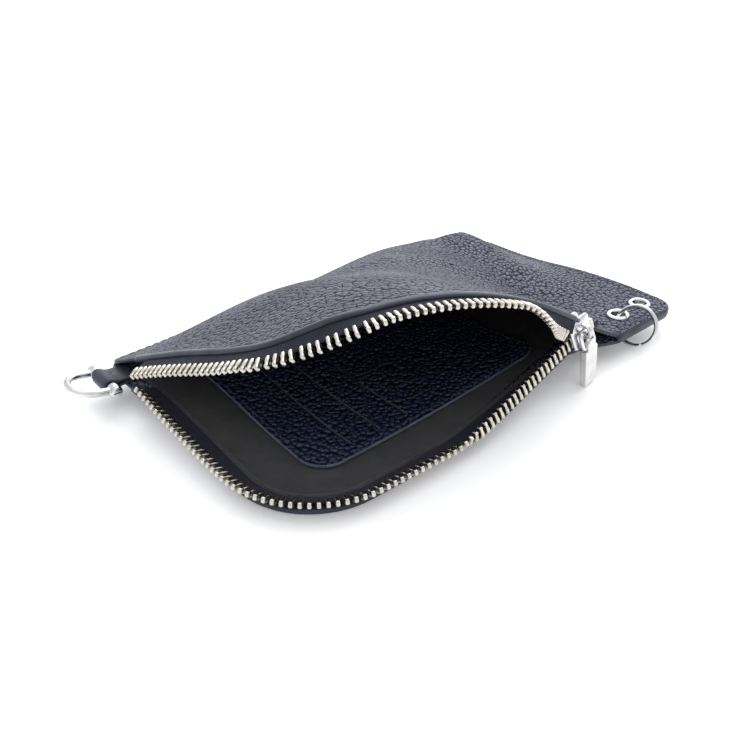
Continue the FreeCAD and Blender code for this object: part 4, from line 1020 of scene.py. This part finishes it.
# Strap loop: a short strip of smooth navy leather folded round the pin of the ring, both tails
# glued and stitched between the front and the back at the corner.
STRAP_OUT, STRAP_ACROSS = -PIN_PLACE[0], PIN_PLACE[1]
STRAP_WIDTH, STRAP_LEATHER, STRAP_TAIL = 9.0, 1.25, 4.6
PIN_RADIUS = 1.25
strap_level = bent(0, STRAP_ACROSS, LEATHER + LAYER_GAP + STRAP_LEATHER).z
pin_centre = Vector((-STRAP_OUT, STRAP_ACROSS, strap_level))
loop_radius = PIN_RADIUS + 0.1 + STRAP_LEATHER / 2
fold = [(STRAP_OUT + STRAP_TAIL, 0.64), (STRAP_OUT + 1.5, 0.66), (STRAP_OUT - 1.0, 0.75), (2.6, 0.95)]
turns = [math.radians(62 + 236 * k / 22) for k in range(23)]
fold += [(loop_radius * math.cos(turn), loop_radius * math.sin(turn)) for turn in turns]
fold += [(x, -z) for x, z in reversed(fold[:4])]
loop_rows = []
for spot, way in with_ways(fold):
    row = []
    for wide, thick in soft_square(16, 0.35, 0.6, 0.5):
        off = spot + way.orthogonal() * (thick * STRAP_LEATHER / 2)
        row.append(pin_centre + Vector((off.x, wide * STRAP_WIDTH / 2, off.y)))
    loop_rows.append(row)
strap_leather = smooth_leather("strap_leather", (0.020, 0.023, 0.040), (0.036, 0.040, 0.062), 0.42)
dress(skin("strap_leather_loop", [loop_rows]), strap_leather, "smooth_leather", "pouch", "strap_loop")
across_strap = [pin_centre + Vector((2.9, -3.6 + 0.4 * k, 1.5)) for k in range(19)]
dress(stitch_row("strap_stitches", across_strap, straight_up, 1.9, 1.4, 0.2), navy_thread, "smooth_leather", "pouch")

# Strap ring: a polished U-shaped ring with an eye on each leg, closed by a screw pin with slotted
# heads that passes through the leather loop.
RING_WIRE, RING_HALF_WIDTH, RING_LEG, RING_RISE = 2.6, 6.8, 5.0, math.radians(12)
PIN_REACH = RING_HALF_WIDTH + 1.4


def at_ring(x, y, z):
    """Point given from the pin of the ring, tipped up with the ring."""
    c, s = math.cos(RING_RISE), math.sin(RING_RISE)
    return pin_centre + Vector((x * c + z * s, y, z * c - x * s))


def turned(rows_at, profile, count=32):
    """Rows of a turned piece from its profile of reach and radius."""
    return [[rows_at(reach, radius * math.cos(2 * math.pi * j / count), radius * math.sin(2 * math.pi * j / count))
             for j in range(count)] for reach, radius in profile]


bow = [(-RING_LEG * k / 6, -RING_HALF_WIDTH) for k in range(6)]
turns = [math.pi * k / 28 for k in range(29)]
bow += [(-RING_LEG - RING_HALF_WIDTH * math.sin(turn), -RING_HALF_WIDTH * math.cos(turn)) for turn in turns]
bow += [(x, -y) for x, y in reversed(bow[:6])]
ring_shells = [rod([at_ring(x, y, 0) for x, y in bow], RING_WIRE / 2)]
for side in (-1, 1):
    profile = [(-1.4, 1.3), (-1.4, 1.9), (-1.2, 2.15), (-0.9, 2.2), (0.9, 2.2), (1.2, 2.15), (1.4, 1.9), (1.4, 1.3)]
    ring_shells.append(turned(lambda reach, a, b: at_ring(a, side * RING_HALF_WIDTH + reach, b), profile))
dress(skin("strap_u_ring", ring_shells), chrome, "polished_metal", "strap_ring", "strap_ring")
pin_profile = [(-PIN_REACH, 1.2), (PIN_REACH, 1.2)]
pin_shells = [turned(lambda reach, a, b: at_ring(a, reach, b), pin_profile)]
for side in (-1, 1):
    head = [(0, 1.95), (0.25, 2.0), (0.6, 1.95), (0.85, 1.75), (1.0, 1.35), (1.0, 0.05)]
    pin_shells.append(turned(lambda reach, a, b: at_ring(a, side * (PIN_REACH + reach), b), head))
dress(skin("ring_screw_pin", pin_shells), chrome, "polished_metal", "strap_ring", "ring_pin")
# Painted shadow: dark bars laid on the screw heads stand for the shade inside the slots, which are not cut.
slot_dark = plated("pin_slot_shadow", (0.05, 0.05, 0.05), (0.09, 0.09, 0.09), 0.5, 1.0)
slot_shells = []
for side in (-1, 1):
    slot_shells.append(rounded_bar(at_ring(0, side * (PIN_REACH + 0.93), 0), Vector((1, 0, 0)), UP, Vector((0, 1, 0)),
                                   (2.7, 0.5, 0.22), 0.1))
dress(skin("pin_screw_slots", slot_shells), slot_dark, "polished_metal", "strap_ring")

# Eyelets: two brass eyelets in the tab, plated and polished, set through both leathers, with a
# rolled flange on top and a washer clinched underneath.
eyelet_shells, washer_shells, eyelet_frames = [], [], []
for x, y in EYELETS:
    base = bent(x, y, 0)
    axis = (bent(x, y, 1) - base).normalized()
    side = Vector((1, 0, 0))
    side = (side - axis * side.dot(axis)).normalized()
    other = axis.cross(side)
    top = TAB_THICKNESS + LAYER_GAP
    flange = [(top - 0.2, 2.42), (top + 0.35, 2.5), (top + 0.62, 2.75), (top + 0.72, 3.1), (top + 0.66, 3.5),
              (top + 0.45, 3.85), (top + 0.15, 4.08), (top - 0.05, 4.08), (top - 0.05, 2.8)]
    barrel = [(-0.6, 2.75), (-0.6, 2.45), (0.2, 2.4)]
    washer = [(-0.1, 2.85), (-0.1, 4.05), (-0.3, 4.1), (-0.6, 3.85), (-0.8, 3.3), (-0.8, 2.95), (-0.6, 2.85)]
    for shells, profile in ((eyelet_shells, barrel + flange), (washer_shells, washer)):
        shells.append(turned(lambda height, a, b: base + axis * height + side * a + other * b, profile, 40))
    eyelet_frames.append((base + axis * (TAB_THICKNESS / 2), axis))
dress(skin("tab_eyelets", eyelet_shells, loop=True), chrome, "polished_metal", "pouch", "eyelets")
dress(skin("tab_eyelet_washers", washer_shells, loop=True), chrome, "polished_metal", "pouch", "eyelet_washers")

# Key ring: a split ring of flattened spring wire in two turns, hanging through the first eyelet
# over the edge of the tab.
RING_RADIUS, COIL_HALF_WIDTH, COIL_HALF_THICKNESS = 7.1, 0.72, 0.39
ring_eye, eyelet_axis = eyelet_frames[0]
RING_TURN, RING_TIP, RING_DROP = math.radians(14), math.radians(17), math.radians(4)
ring_out = Vector((math.sin(RING_TURN), -math.cos(RING_TURN), 0))
ring_out = (ring_out - eyelet_axis * ring_out.dot(eyelet_axis)).normalized()
ring_side = eyelet_axis.cross(ring_out)
ring_up = eyelet_axis * math.cos(RING_TIP) + ring_side * math.sin(RING_TIP)
ring_centre = ring_eye + (ring_out * math.cos(RING_DROP) - ring_up * math.sin(RING_DROP)) * RING_RADIUS
ring_axis = ring_out.cross(ring_up)
coil_rows = []
for k in range(193):
    share = k / 192
    turn = math.radians(-58) + 4 * math.pi * share * 0.994
    rise = -0.4 + 0.8 * eased((share - 0.44) / 0.12)
    spoke = ring_out * math.cos(turn) + ring_up * math.sin(turn)
    coil_rows.append([ring_centre + spoke * (RING_RADIUS + wide * COIL_HALF_WIDTH)
                      + ring_axis * (rise + thick * COIL_HALF_THICKNESS) for wide, thick in soft_square(12, 0.7, 0.7)])
dress(skin("split_key_ring", [coil_rows]), chrome, "polished_metal", "key_ring", "key_ring")

# Studio: a wide pale table under soft light from above and behind, and the camera where the
# photograph was taken from.


def shown_rays(tree):
    """1 for the rays that show the surroundings, to the camera, in metal or through glass."""
    rays = node(tree, "ShaderNodeLightPath").outputs
    mirrored = figured(tree, "MAXIMUM", rays["Is Glossy Ray"], rays["Is Transmission Ray"])
    return figured(tree, "MAXIMUM", rays["Is Camera Ray"], mirrored)


floor_mesh = bpy.data.meshes.new("table_top")
TABLE_REACH, TABLE_LEVEL = 6, -0.0002
table_corners = [(x * TABLE_REACH, y * TABLE_REACH, TABLE_LEVEL) for x, y in ((-1, -1), (1, -1), (1, 1), (-1, 1))]
floor_mesh.from_pydata(table_corners, [], [(0, 1, 2, 3)])
table_top = bpy.data.objects.new("table_top", floor_mesh)
bpy.context.scene.collection.objects.link(table_top)
pale, tree, surface = new_finish("pale_table", Roughness=0.9, Specular_IOR_Level=0.1, Base_Color=(0.9, 0.9, 0.9, 1),
                                 Emission_Color=(1, 1, 1, 1))
tree.links.new(between(tree, shown_rays(tree), 0, 1, 0, 0.17), surface.inputs["Emission Strength"])
table_top.data.materials.append(pale)
world = bpy.data.worlds.new("studio")
bpy.context.scene.world = world
world.use_nodes = True
world_tree = world.node_tree
room = world_tree.nodes["Background"]
room.inputs["Color"].default_value = (0.96, 0.97, 1.0, 1)
sky = node(world_tree, "ShaderNodeSeparateXYZ", {0: node(world_tree, "ShaderNodeTexCoord").outputs["Generated"]})
overhead = between(world_tree, sky.outputs["Z"], 0.0, 0.9, 0.25, 1.3)
level = figured(world_tree, "MAXIMUM", overhead, shown_rays(world_tree))
world_tree.links.new(level, room.inputs["Strength"])
camera_data = bpy.data.cameras.new("camera")
camera = bpy.data.objects.new("camera", camera_data)
bpy.context.scene.collection.objects.link(camera)
azimuth, elevation = math.radians(-40.8), math.radians(32.6)
LOOK_AT, CAMERA_DISTANCE = Vector((71.3, 49.4, 0)), 291.2
level_way = Vector((math.sin(azimuth), -math.cos(azimuth), 0))
sight = level_way * math.cos(elevation) + UP * math.sin(elevation)
camera.location = on_table(LOOK_AT + sight * CAMERA_DISTANCE)
camera.rotation_euler = (-sight).to_track_quat("-Z", "Y").to_euler()
camera_data.lens = 40.8
camera_data.sensor_width = 36.0
camera_data.clip_start = 0.01
bpy.context.scene.camera = camera
softbox_data = bpy.data.lights.new("overhead_softbox", "AREA")
softbox_data.energy, softbox_data.shape = 17.0, "RECTANGLE"
softbox_data.size, softbox_data.size_y = 1.8, 1.5
softbox = bpy.data.objects.new("overhead_softbox", softbox_data)
bpy.context.scene.collection.objects.link(softbox)
softbox.location = (0.75, 0.45, 1.0)
softbox.rotation_euler = (-softbox.location).to_track_quat("-Z", "Y").to_euler()
bpy.context.scene.view_settings.view_transform = "Standard"
